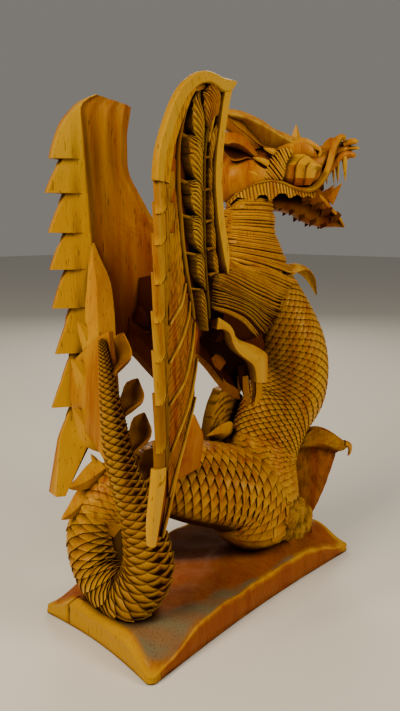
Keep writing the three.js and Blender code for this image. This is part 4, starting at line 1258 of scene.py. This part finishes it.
def makeMuzzle(side):
    # upper lip, the two nose knobs, the fangs and the small teeth between them
    def paleTip(most, start, end):
        return lambda t, a, u: most * smoothStep(start, end, t) + 0 * a

    headBlade([(31, 1, 8, 3, 3), (36.5, 7, 8, 3.2, 3), (42.5, 13.5, 8, 3, 2.8),
               (49, 16, 7, 2.8, 2.4), (55, 15.2, 6, 2.4, 2.2), (57.5, 14.6, 5.6, 0.8, 0.8)],
              (0, 1, 0), roundSection(12), 18, warm=0.3,
              pale=paleTip(0.6, 0.85, 1.0), mirror=side)
    headBlade([(45, 23.4, 6, 2.2, 2.6), (51, 25.6, 6.4, 2.6, 2.8), (56, 26.2, 6.2, 2.3, 2.4),
               (58.6, 26.0, 6, 0.8, 0.8)],
              (0, 1, 0), roundSection(12), 12,
              pale=paleTip(0.7, 0.5, 0.9), mirror=side)
    headBlade([(47, 19.6, 5, 1.8, 2.2), (54, 21, 5, 1.8, 2.0), (59.2, 21.2, 5, 1.3, 1.4),
               (60.6, 21.2, 5, 0.4, 0.4)],
              (0, 1, 0), roundSection(10), 10,
              pale=paleTip(0.7, 0.6, 0.9), mirror=side)
    for f, u, long, thick in ((46.6, 12, 18, 2.3), (36.8, 6.5, 14, 1.7)):
        headBlade([(f - 1.5, u + 3, 7.6, thick, thick), (f, u - 1, 7.8, thick, thick),
                   (f + 0.9, u - 0.55 * long, 7.8, 0.62 * thick, 0.62 * thick),
                   (f + 1.6, u - long, 7.6, 0.3, 0.3)],
                  (1, 0, 0), roundSection(8), 12, pale=0.65, warm=-0.2, mirror=side)
    headBlade([(33.6, -20.5, 7, 6.6, 2.6), (37.5, -16.4, 7.6, 4.4, 2.0),
               (41.5, -12, 8, 2.0, 1.2), (45.4, -7.6, 8, 0.3, 0.3)],
              (0.3, -0.95, 0), keelSection, 12, pale=0.1, warm=0.3, mirror=side)
    for n in range(4):
        headBlade([(13 + 5 * n, -9 + 1.8 * n, 9.5, 1.7, 1.4),
                   (13.5 + 5 * n, -14.5 + 1.8 * n, 9.5, 0.3, 0.3)],
                  (1, 0, 0), roundSection(6), 4, pale=0.5, mirror=side)


def makeJawSide(side):
    # the skin behind the mouth's corner, the jaw's upper rim and the leaf points below it, which are
    # darkened as painted shade
    headBlade([(10, -15, 13, 7, 2.2), (18, -17, 11.6, 7.5, 2.2), (26, -21.5, 9.6, 6.5, 2),
               (33, -26, 8, 4.5, 2)],
              (0, 1, 0), roundSection(12), 14, warm=0.5, stain=0.5, mirror=side)
    headBlade([(15, -13, 11.6, 1.4, 1.6), (21.2, -16.1, 10.6, 1.6, 1.8),
               (28, -20.6, 9.4, 1.6, 1.8), (36, -28.1, 7.4, 1.6, 1.8),
               (45.2, -35.4, 4.4, 1.3, 1.4), (52, -43, 0.8, 0.4, 0.4)],
              (0, 1, 0), flatSection, 24, pale=0.3, warm=0.1, mirror=side)
    for f, u, long, right in ((13, -22, 9, 11.6), (22, -26, 9, 10), (31, -31, 8, 8.2),
                              (40, -36.4, 7, 5.6)):
        headBlade([(f + 4, u + 5, right - 0.6, 3.6, 2.2), (f, u, right + 0.6, 3.4, 2.0),
                   (f - 0.55 * long, u - 0.5 * long, right, 0.3, 0.4)],
                  (1, 0.6, 0), keelSection, 8, stain=0.8, warm=0.4, mirror=side)
    for f, u, long, right in ((-6, -26, 7, 9), (3, -29, 8, 9), (12, -34, 8, 7.4), (22, -38, 8, 6),
                              (32, -41, 6, 4)):
        headBlade([(f + 3, u + 5, right, 3.8, 2.2), (f, u, right, 3.0, 1.8),
                   (f - 0.4 * long, u - 0.6 * long, right - 1, 0.3, 0.4)],
                  (1, 0.4, 0), keelSection, 8, stain=0.85, warm=0.3, mirror=side)


def makeBrow(side):
    # a ledge over the cheek that curls round the nostril's hole, on a plain band
    headBlade([(-12, 16, 12, 2.4, 3.0), (-2, 19.5, 12, 3.0, 3.6), (8, 23.6, 11, 3.2, 3.4),
               (16, 22, 10.4, 2.6, 2.6), (22, 19.4, 10, 2.0, 1.8), (24, 16.6, 10, 1.4, 1.6),
               (22.6, 12.8, 10.6, 0.8, 1.2)],
              (0, 0, 1), flatSection, 28, warm=-0.3, pale=0.15, mirror=side)
    headBlade([(-9, 13, 12, 3.4, 4), (2, 17.5, 12.4, 3.0, 5.2), (11, 17.5, 11.8, 2.8, 4.8),
               (17, 14.6, 11.4, 2.6, 3.0), (20, 12, 10.5, 1.6, 1.6)],
              (0, 0, 1), flatSection, 18, warm=-0.1, mirror=side)
    # the nostril's hole: a dark rod of painted shade
    headBlade([(20.4, 17, 5, 2.6, 2.3), (20.8, 17, 11.6, 2.4, 2.0)],
              (1, 0, 0), roundSection(12), 3, stain=1.0, mirror=side)


def makeHead():
    makeSkull()
    for side in (1, -1):
        makeCheek(side)
        makeComb(side)
        makeFrill(side)
        makeHorn(side)
        makeEar(side)
        makeLip(side)
        makeMuzzle(side)
        makeJawSide(side)
        makeBrow(side)


arms = {
    # curves of the right arm's bevelled ribbon from the wing to the wrist: x, z
    "top": [(-46, 236), (-34, 230), (-27, 224), (-19, 217), (-1, 210), (10, 204.5), (16, 200.5),
            (17, 193),
            (17.5, 178)],
    "edge": [(-52, 237), (-41, 231), (-35, 226), (-30, 219), (-19, 211), (-8, 205), (2, 202),
             (4.5, 197),
             (4.5, 181)],
    "low": [(-53, 229), (-45, 228), (-39, 224), (-34, 216), (-24, 208), (-13, 201), (-6, 196),
            (-3, 189),
            (-2, 182)],
    # the hollow behind it, and the thin blade that closes the hollow below
    "hollow": [(-53, 220), (-50, 217), (-45, 213), (-40, 207), (-30, 201), (-20, 193), (-13, 188),
               (-8, 184),
               (-5, 179)],
    "blade": [(-56, 210), (-53, 208), (-49, 205), (-43, 199.5), (-34, 190), (-26, 182), (-18, 177),
              (-12, 173),
              (-10, 169)],
    # the ribbon's root stands out from the shoulder: by how much, from which x back, and over
    # what length
    "rootOut": (5, -22, 16),
    # claws: x, y, z, half width and half thickness from root to tip, then how dark
    "claws": [([(3, 46, 184, 3.6, 2.6), (3.8, 46.5, 176.5, 3.6, 3.0), (2.2, 46.5, 169.5, 3.0, 2.6),
                (-1.6, 46, 162.8, 0.4, 0.4)], 0.0),
              ([(-0.5, 43, 191, 3.4, 2.6), (1.4, 43, 182, 3.4, 2.6), (1.4, 43, 172, 2.6, 2.2),
                (0.6, 42, 162, 0.4, 0.4)], 0.5),
              ([(-5, 40, 187, 3.6, 2.4), (-3.6, 40, 176, 4.2, 2.6), (-2, 40, 167.5, 3.0, 2.2),
                (-2.2, 39.5, 159.8, 0.4, 0.4)], 0.3),
              ([(-8, 37, 187, 3.0, 2.0), (-6.6, 36, 177, 2.6, 1.8), (-10.4, 36, 169.5, 0.4, 0.4)],
               0.15)],
}


def skin(curves, mirror=1, rings=22, **shares):
    # a closed skin over curves that run from one end to the other, in order round the section;
    # mirror is -1 to swap the dragon's right and left
    grid = np.stack([smoothPath(curve, rings)[:, :3] for curve in curves], axis=1)
    loft(grid * np.array([1, mirror, 1]), **shares)


def makeArms():
    # Each arm is a bevelled ribbon that bends down at the wrist, with claws hanging from it,
    # and a deep hollow behind it that a thin blade closes below.
    for side, lift in ((-1, 0), (1, -4)):
        def course(name, y, drop=0.0):
            out, start, length = arms["rootOut"]
            return [(x, y + out * min(max((start - x) / length, 0), 1), z + lift - drop)
                    for x, z in arms[name]]

        def tone(*values):
            return np.broadcast_to(np.array(values, float), (26, len(values)))

        # the ribbon's inner side darkened as painted shade
        skin([course("edge", 49), course("low", 48.5), course("low", 39, -1.5), course("top", 38, 2),
              course("top", 44)], side, 26, warm=tone(-0.7, -0.5, 0.5, 0.5, -0.4),
             pale=tone(0.3, 0.05, 0, 0, 0.15), stain=tone(0, 0.1, 0.9, 0.6, 0))
        # the hollow: a dark skin of painted shade, with the blade and the leaf in it darkened as well
        skin([course("low", 42, -3), course("hollow", 31), course("blade", 37), course("blade", 30),
              course("hollow", 25), course("low", 34, -6)], side, 26, warm=1.0,
             stain=tone(1, 1, 0.95, 0.6, 0.6, 0.6))
        blade([(-5, 37.5, 196 + lift, 7, 2.6), (-3.5, 37.5, 182 + lift, 6, 2.4),
               (-2, 37.5, 170 + lift, 1.5, 1.2)],
              (1, 0, 0), roundSection(12), 10, stain=0.95, warm=1.0, mirror=side)
        blade([(x, 37, z + lift, w, 2.4) for (x, z), w in
               zip(arms["blade"], (2.4, 3.0, 3.4, 3.6, 3.6, 3.4, 3.6, 3.2, 0.5))],
              (0.6, 0, 1), keelSection, 30, warm=0.3, stain=0.5, mirror=side)
        # faceted leaf inside the hollow
        blade([(-42, 38, 199 + lift, 5.5, 2.4), (-32, 36.5, 200 + lift, 7.5, 3),
               (-22, 35, 199 + lift, 0.5, 0.5)],
              (0.1, 0, 1), keelSection, 12, stain=0.5, warm=0.8, mirror=side)
        for stations, dark in arms["claws"]:
            blade([(x, y, z + lift, w, h) for x, y, z, w, h in stations],
                  (1, 0, 0.2), keelSection, 14, warm=-0.5 + dark, stain=dark, mirror=side)


tail = {
    # thorns: foot, tip, radius; they are rose thorns, wide at the foot and hooked
    "thorns": [((-92, 31, 117), (-117.5, 34, 109.6), 9), ((-98, 35, 100), (-122, 38, 85), 8.5),
               ((-104, 37, 72), (-116, 39, 57), 7), ((-80, 20, 72), (-104.5, 20, 90), 10),
               ((-97, 14, 42), (-117, 13, 52), 8.5), ((-84, 27, 108), (-96, 34, 130), 7)],
    # hooded leaves on the tail's free side: foot, tip, half width
    "hoods": [((-103, -1, 200), (-86, 5, 224), 8), ((-100, -4, 170), (-76, 2, 190), 9),
              ((-96, -8, 142), (-72, 0, 164), 9), ((-90, -11, 118), (-66, -3, 136), 9)],
    # small pointed leaves between the tail and the left wing: foot, tip, half width
    "leaves": [((-84, 30, 198), (-99, 40, 230), 8), ((-85, 30, 176), (-106, 40, 203), 10),
               ((-86, 28, 136), (-106.5, 40, 167), 10)],
}


def thorn(foot, tip, radius, curl=4.0, **shares):
    # wide foot, waist and a tip that bends up from the straight line
    foot, tip = np.array(foot, float), np.array(tip, float)
    way = tip - foot
    bend = np.array([0, 0, curl])
    points = [(*(foot - 0.15 * way), radius * 1.05, radius * 0.85),
              (*(foot + 0.25 * way - 0.4 * bend), radius * 0.95, radius * 0.7),
              (*(foot + 0.6 * way - 0.5 * bend), radius * 0.62, radius * 0.45),
              (*(foot + 0.88 * way - 0.2 * bend), radius * 0.28, radius * 0.2), (*tip, 0.3, 0.3)]
    blade(points, (0.3, 0.2, 1), keelSection, 12, **shares)


def makeTailFin():
    for foot, tip, radius in tail["thorns"]:
        thorn(foot, tip, radius, warm=-0.3, pale=0.12)
    thorn((0, 4, 112), (-24, 14, 146), 9, warm=-0.2)
    # the body's plain inner side, which shuts the loop between the thorns and the tail
    blade([(-78, 24, 112, 12, 10), (-76, 25, 84, 13, 10), (-80, 25, 60, 12, 10), (-86, 24, 44, 8, 8)],
          (0.7, 0.7, 0), roundSection(16), 18, stain=0.75, warm=0.2, cut=0.8, bloom=0.5)
    # each hood's hollow and lower sides darkened as painted shade
    for foot, tip, wide in tail["hoods"]:
        foot, tip = np.array(foot, float), np.array(tip, float)
        middle = 0.5 * (foot + tip) + (5, 1, -4)
        blade([(*foot, wide * 0.7, 5), (*middle, wide, 6), (*(0.2 * foot + 0.8 * tip), wide * 0.7, 4),
               (*tip, 0.6, 0.6)], (0.5, -0.8, 0.1), hoodSection, 14, warm=-0.2,
              stain=lambda t, a, u: np.where((u < 0.42) & (u > -0.28), 0.55, 0.05) + 0 * t)
    for foot, tip, wide in tail["leaves"]:
        foot, tip = np.array(foot, float), np.array(tip, float)
        middle = 0.55 * foot + 0.45 * tip + (0, -2, -5)
        blade([(*foot, wide * 0.8, 4), (*middle, wide, 5),
               (*(0.22 * foot + 0.78 * tip), wide * 0.55, 3),
               (*tip, 0.4, 0.4)], (0.2, -0.4, 1), keelSection, 14, warm=-0.5, pale=0.15)
    # the long leaf that climbs the left wing, and the web behind it
    blade([(-94, 14, 196, 9, 5), (-90, 25, 216, 11, 6), (-86, 31, 236, 11, 6.5), (-83, 35, 256, 9, 6),
           (-82, 40, 272, 5, 4), (-81, 43.5, 288, 0.5, 0.6)],
          (0.55, -0.75, 0.1), keelSection, 24, warm=-0.35, pale=0.15)
    web = [(-103, -2, 138, 9, 3.5), (-99, 10, 150, 16, 4), (-97, 22, 166, 26, 4.5),
           (-95, 33, 186, 34, 5), (-92, 44, 206, 40, 5)]
    blade(web, (0.05, -0.5, 1), flatSection, 16, stain=0.1, warm=-0.2)


frontLeaf = {
    "foot": (98, -37.5, 0),
    "turn": -40,
    # its two edges from the base up, as distance across and height, then its hooked tip
    "left": [(-22, 16), (-21.5, 40), (-20.8, 58), (-20, 74), (-18.6, 89), (-15.5, 108), (-11, 116)],
    "right": [(0, 16), (-2, 38), (4, 53), (9.5, 67), (14.5, 84), (20, 99), (30.4, 104.5)],
    "hook": [(26, 107, 2.6), (30, 105, 2.6), (32, 101, 2.0), (31, 97, 1.2), (29.5, 94.5, 0.3)],
}

# the rough knob that the coil rests against: x, y, z and radius
knob = [(28, -42, 70, 3), (32, -43, 67, 11), (40, -43.5, 61, 16.5), (50, -43.5, 54, 18.5),
        (60, -42.5, 48, 16.5), (68, -41, 43, 11), (72, -40, 40, 4)]


def makeFrontLeaf():
    # A broad leaf on edge with a rolled upper rim, a crease under the rim and a hooked tip:
    # z = edge to edge + arch, depth = rim + crease + gouge marks
    turn = math.radians(frontLeaf["turn"])
    widthWay = np.array([math.cos(turn), math.sin(turn), 0])
    depthWay = np.array([-math.sin(turn), math.cos(turn), 0])
    rows, steps = 36, 22
    left = smoothPath([(w, 0, z) for w, z in frontLeaf["left"]], rows)
    right = smoothPath([(w, 0, z) for w, z in frontLeaf["right"]], rows)
    v, s = np.meshgrid(np.linspace(0, 1, rows), np.linspace(0, 1, steps), indexing="ij")
    w = left[:, :1] + (right - left)[:, :1] * s
    z = left[:, 2:] + (right - left)[:, 2:] * s + 9 * v**7 * np.sin(np.pi * s**0.75)
    share = np.clip((w + 11) / 42, 0, 1)
    top = 117 + 5 * np.sin(np.pi * share) - 12 * share
    below = top - z
    rimBulge = 4.0 * np.exp(-((below - 8) / 4.0) ** 2)
    crease = -2.6 * np.exp(-((below - 15) / 3.0) ** 2)
    gouge = 0.6 * np.sin(z / 2.4 + 4 * s + 2 * np.sin(w / 5)) * np.sin(w / 2.8 + z / 9)
    front = -5.0 - rimBulge - crease - gouge - 2.0 * np.sin(np.pi * s)
    back = 4.0 + 0 * front

    def put(w, d, z):
        return np.array(frontLeaf["foot"]) + w[..., None] * widthWay + d[..., None] * depthWay \
            + z[..., None] * np.array([0, 0, 1])

    grid = np.concatenate([put(w, front, z), put(w[:, ::-1], back[:, ::-1], z[:, ::-1])], axis=1)
    # darker in the crease under the rim (painted shade) and along the gouge marks
    lowDark = 0.2 + 0.5 * np.exp(-((below - 15) / 3.5) ** 2) + 0.25 * (gouge > 0.2)

    def withBack(front, back):
        return np.concatenate([front, np.full((rows, steps), back)], axis=1)

    loft(grid, stain=withBack(lowDark, 0.3), warm=withBack(np.where(below < 11, -0.2, 0.5), 0.4),
         pale=withBack(np.where(below < 10, 0.3, 0.0), 0.0), cut=0.7)
    hook = [(*put(np.array(float(a)), np.array(-4.0), np.array(float(b))), r, r * 1.6)
            for a, b, r in frontLeaf["hook"]]
    blade(hook, tuple(widthWay), roundSection(10), 16, warm=-0.2, pale=0.3)
    # the knob: rings along its axis, lumpy and broken like bark
    path = smoothPath(knob, 44)
    ring = np.linspace(0, 2 * np.pi, 40, endpoint=False)[None, :]
    t = np.linspace(0, 1, 44)[:, None]
    rough = 1 + 0.09 * np.sin(3 * ring + 19 * t) + 0.08 * np.sin(5 * ring - 31 * t) \
        + 0.05 * np.sin(9 * ring + 47 * t) + 0.04 * np.sin(14 * ring - 67 * t)
    _, across, up = pathFrames(path, np.array([0, 1.0, 0.2]))
    radius = path[:, 3:4] * rough
    grid = (path[:, None, :3] + across[:, None] * (radius * np.cos(ring))[..., None]
            + up[:, None] * (radius * 0.95 * np.sin(ring))[..., None])
    loft(grid, stain=0.12 + 0.5 * (rough < 0.93), warm=0.15, pale=0.3, cut=0.9, bloom=0.25)


def makeHaunch():
    # the coil's short foot on the base
    blade([(36, -16, 50, 16, 16), (37, -16, 32, 14, 14), (38, -16, 18, 14, 14)],
          (0, 1, 0), roundSection(40), 12, stain=0.35, warm=0.6, cut=1.0, bloom=0.15)
    # the leaf with swirling gouge strokes that stands behind the coil
    rows, steps = 50, 24
    v, s = np.meshgrid(np.linspace(0, 1, rows), np.linspace(0, 1, steps), indexing="ij")
    left = np.interp(v, [0, 0.12, 0.5, 0.7, 0.85, 1], [26, 13, 6, 10, 15, 24])
    right = np.interp(v, [0, 0.1, 0.25, 0.5, 0.8, 0.93, 1], [40, 54, 62, 68, 60, 50, 36])
    x = left + (right - left) * s
    z = 88 + 73 * v
    angle = np.arctan2(z - 118, x - 30)
    reach = np.hypot(z - 118, x - 30)
    gouge = np.sin(reach / 0.8 + 5 * angle) * np.sin(3 * angle + reach / 5)
    near = 7.0 - 0.7 * gouge
    front = np.stack([x, near + 0.12 * x, z], axis=-1)
    # the far side is plainer: domed, with four long flutes
    flute = np.abs(np.sin(4 * np.pi * s))
    dome = 3.0 * (1 - (2 * s - 1) ** 2) * np.sin(np.pi * np.clip(v, 0.06, 0.94))
    far = 16.5 + 0.12 * x + dome + 0.9 * flute
    back = np.stack([x, far, z], axis=-1)[:, ::-1]
    dark = np.concatenate([0.2 + 0.6 * (gouge < -0.2), (0.6 * (flute < 0.3) + 0.1)[:, ::-1]], axis=1)
    loft(np.concatenate([front, back], axis=1), stain=dark, warm=-0.4, pale=0.15)
    # a small pointed leaf in front of it
    blade([(30, 3, 124, 4, 2), (20, 1, 128, 9, 4), (8, 0, 130, 6, 3.4), (-5, 0, 129.5, 0.4, 0.4)],
          (0, -0.35, 1), keelSection, 16, warm=-0.3, pale=0.2)
    # the plain pointed web from the right wing's long feathers down to the coil
    blade([(-58.5, -37, 167, 0.5, 0.8), (-58, -36, 160, 4.5, 2), (-58, -34, 150, 11, 3),
           (-57, -30, 138, 14, 3.4), (-54, -24, 120, 14, 3.4)], (1, 0, 0), flatSection, 16, warm=0.45)


finish = {
    "honey": "#AC7200",
    "orange": "#883C00",
    "gold": "#BE8C00",
    "paleWood": "#B49428",
    # the dark brown of the stain, laid as painted shade as well
    "darkStainAndShade": "#1C0602",
    "greyBloom": "#6B6248",
    "grain": 9.0,  # mm between bands of grain
    "pores": 1.1,  # mm across a pore dash; finer ones would not show
    "sheen": "#FFC45A",  # tint of the varnish where it shines
    "strokes": 1.5,  # mm between the fine chisel strokes
    "roughness": 0.42,
    "gloss": 0.28,  # specular level of the uncut wood
    "coat": 0.04,  # weight of the varnish's own shine there
    "ior": 1.5,  # varnish
    "narrowCut": 0.009,  # m across a cut that keeps its stain and painted shade
    "poreStain": 0.55,
    "strokeStain": 0.6,
    "bumpDepth": 0.0006,  # m
}


def makeVarnishedHardwood():
    # Varnished hardwood: brown stain wiped on and off, so it stays in the cuts, under a
    # satin-gloss varnish, with the same dark brown painted as shade in cuts and hollows. It
    # gives warm bands of upright grain, short dark pore dashes, pale sapwood and painted
    # highlights on edges and ridges, and soft highlights.
    material = bpy.data.materials.new("stained and varnished hardwood")
    material.use_nodes = True
    tree = material.node_tree
    tree.nodes.clear()
    place = addNode(tree, "ShaderNodeTexCoord").outputs["Object"]
    values = {name: addNode(tree, "ShaderNodeAttribute", attribute_name=name).outputs["Fac"]
              for name in shareNames}

    # noise patterns: cells in a metre along x, y and z, then the noise's own settings
    grain, pore, stroke = (1000 / finish[name] for name in ("grain", "pores", "strokes"))
    patterns = {
        "grain": ((grain, grain, grain / 12), {"Detail": 5.0, "Roughness": 0.62, "Distortion": 0.4}),
        "clouds": ((22, 22, 9), {"Detail": 3.0}),
        "pores": ((pore * 0.8, pore * 0.8, pore / 9), {"Detail": 1.0}),
        "strokes": ((stroke, stroke, stroke / 7), {"Detail": 1.0}),
    }
    for name, (scale, settings) in patterns.items():
        at = addNode(tree, "ShaderNodeMapping", {"Vector": place, "Scale": scale}).outputs[0]
        inputs = {"Vector": at, "Scale": 1.0, **settings}
        values[name] = addNode(tree, "ShaderNodeTexNoise", inputs).outputs[0]
    # how open a point is: stain stays where the cuts are narrow, and shade is painted there too
    values["open"] = addNode(tree, "ShaderNodeAmbientOcclusion", {"Distance": finish["narrowCut"]},
                             samples=8).outputs["AO"]

    # Each row makes a new value from the ones before it. A range row gives the source, the two
    # ends read from it and the two they become; the others name two terms.
    roughness, gloss, coat = finish["roughness"], finish["gloss"], finish["coat"]
    steps = (
        ("cool", "RANGE", "warm", 0.0, -1.0, 0.0, 1.0),
        ("hot", "RANGE", "warm", 0.0, 1.0, 0.0, 1.0),
        ("bands", "RANGE", "grain", 0.38, 0.66, 0.0, 1.0),
        ("patches", "RANGE", "clouds", 0.52, 0.75, 0.0, 1.0),
        ("betweenBands", "RANGE", "grain", 0.75, 0.35, 0.0, 1.0),
        ("sapwoodAndHighlight", "MULTIPLY", "pale", "betweenBands"),
        ("dashes", "RANGE", "pores", 0.66, 0.74, 0.0, 1.0),
        ("darkDashes", "MULTIPLY", "dashes", finish["poreStain"]),
        ("shutIn", "RANGE", "open", 0.9, 0.3, 0.0, 1.0),
        ("inCuts", "MAXIMUM", "stain", "shutIn"),
        ("struck", "RANGE", "strokes", 0.52, 0.66, 0.0, 1.0),
        ("strokeDepth", "MULTIPLY", "struck", "cut"),  # only where the wood is cut
        ("inStrokes", "MULTIPLY", "strokeDepth", finish["strokeStain"]),
        ("heldStainAndShade", "MAXIMUM", "inCuts", "inStrokes"),
        ("rubbed", "MAXIMUM", "cut", "bloom"),
        ("dull", "MAXIMUM", "rubbed", "heldStainAndShade"),
        ("grainRough", "RANGE", "grain", 0.3, 0.7, roughness - 0.06, roughness + 0.1),
        ("dullRough", "RANGE", "dull", 0.0, 1.0, 0.0, 0.3),
        ("rough", "ADD", "grainRough", "dullRough"),
        ("gloss", "RANGE", "dull", 0.0, 0.8, gloss, 0.05),
        ("coat", "RANGE", "dull", 0.0, 0.4, coat, 0.0),
        ("grooves", "MULTIPLY", "strokeDepth", 2.0),
        ("dents", "ADD", "pores", "grooves"),
        ("height", "SUBTRACT", "grain", "dents"),
    )
    for name, kind, *terms in steps:
        terms = [values.get(term, term) for term in terms]
        if kind == "RANGE":
            inputs = dict(zip(("Value", "From Min", "From Max", "To Min", "To Max"), terms))
            node = addNode(tree, "ShaderNodeMapRange", inputs)
        else:
            node = addNode(tree, "ShaderNodeMath", dict(enumerate(terms)), operation=kind)
        values[name] = node.outputs[0]

    # colours laid one over another: how much of each shows, and which it is; the pale layer is sapwood
    # and painted highlight, the last dark one stain and painted shade
    color = linear(finish["honey"])
    for shown, over in (("bands", "orange"), ("patches", "gold"), ("cool", "gold"),
                        ("hot", "orange"), ("sapwoodAndHighlight", "paleWood"), ("darkDashes", "darkStainAndShade"),
                        ("bloom", "greyBloom"), ("heldStainAndShade", "darkStainAndShade")):
        layer = {0: values[shown], 6: color, 7: linear(finish[over])}
        color = addNode(tree, "ShaderNodeMix", layer, data_type="RGBA").outputs[2]
    bump = addNode(tree, "ShaderNodeBump", {
        "Height": values["height"], "Strength": 0.35, "Distance": finish["bumpDepth"]}).outputs[0]
    shader = addNode(tree, "ShaderNodeBsdfPrincipled", {
        "Base Color": color, "Roughness": values["rough"], "Normal": bump, "IOR": finish["ior"],
        "Specular IOR Level": values["gloss"], "Specular Tint": linear(finish["sheen"]),
        "Coat Weight": values["coat"], "Coat Roughness": 0.2})
    output = addNode(tree, "ShaderNodeOutputMaterial")
    tree.links.new(shader.outputs[0], output.inputs["Surface"])
    return material


def joinShells(name, material):
    # All shells in one mesh, with their shares as attributes. Points that lie past the frame's
    # box are pulled back to its faces, so the carving stays within it. The box measured
    # afterwards can't be too big. It moves the web beside the tail by up to 17 mm, and other
    # points by 2.3 mm at most.
    counts = np.cumsum([0] + [len(points) for points, _, _ in shells])
    points = np.concatenate([points for points, _, _ in shells]) * metresPerMm
    triangles = np.concatenate([t + start for (_, t, _), start in zip(shells, counts)])
    shares = np.concatenate([s for _, _, s in shells])
    low, high = (np.array(corner) for corner in cadBox)
    points = np.clip(points, low, high)
    mesh = bpy.data.meshes.new(name)
    mesh.vertices.add(len(points))
    mesh.vertices.foreach_set("co", points.astype(np.float32).ravel())
    mesh.loops.add(triangles.size)
    mesh.loops.foreach_set("vertex_index", triangles.astype(np.int32).ravel())
    mesh.polygons.add(len(triangles))
    mesh.polygons.foreach_set("loop_start", np.arange(0, triangles.size, 3, dtype=np.int32))
    mesh.update(calc_edges=True)
    for column, share in enumerate(shareNames):
        layer = mesh.attributes.new(share, "FLOAT", "POINT")
        layer.data.foreach_set("value", shares[:, column].astype(np.float32))
    tidy = bmesh.new()
    tidy.from_mesh(mesh)
    bmesh.ops.remove_doubles(tidy, verts=tidy.verts, dist=1e-6)
    bmesh.ops.dissolve_degenerate(tidy, edges=tidy.edges, dist=1e-6)
    tidy.to_mesh(mesh)
    tidy.free()
    mesh.polygons.foreach_set("use_smooth", np.ones(len(mesh.polygons), bool))
    mesh.set_sharp_from_angle(angle=math.radians(38))
    mesh.materials.append(material)
    piece = bpy.data.objects.new(name, mesh)
    bpy.context.collection.objects.link(piece)
    print(name, len(mesh.polygons), "triangles,", len(shells), "shells")
    return piece


makeBase()
makeBody()
makeMane()
makeShoulders()
print("body made")
makeRightWing()
makeLeftWing()
print("wings made")
makeHead()
print("head made")
makeArms()
makeTailFin()
makeFrontLeaf()
makeHaunch()
print("limbs, fins and leaves made")
dragon = joinShells("carved_dragon", makeVarnishedHardwood())
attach(dragon, "root")
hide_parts("dragon_carving")
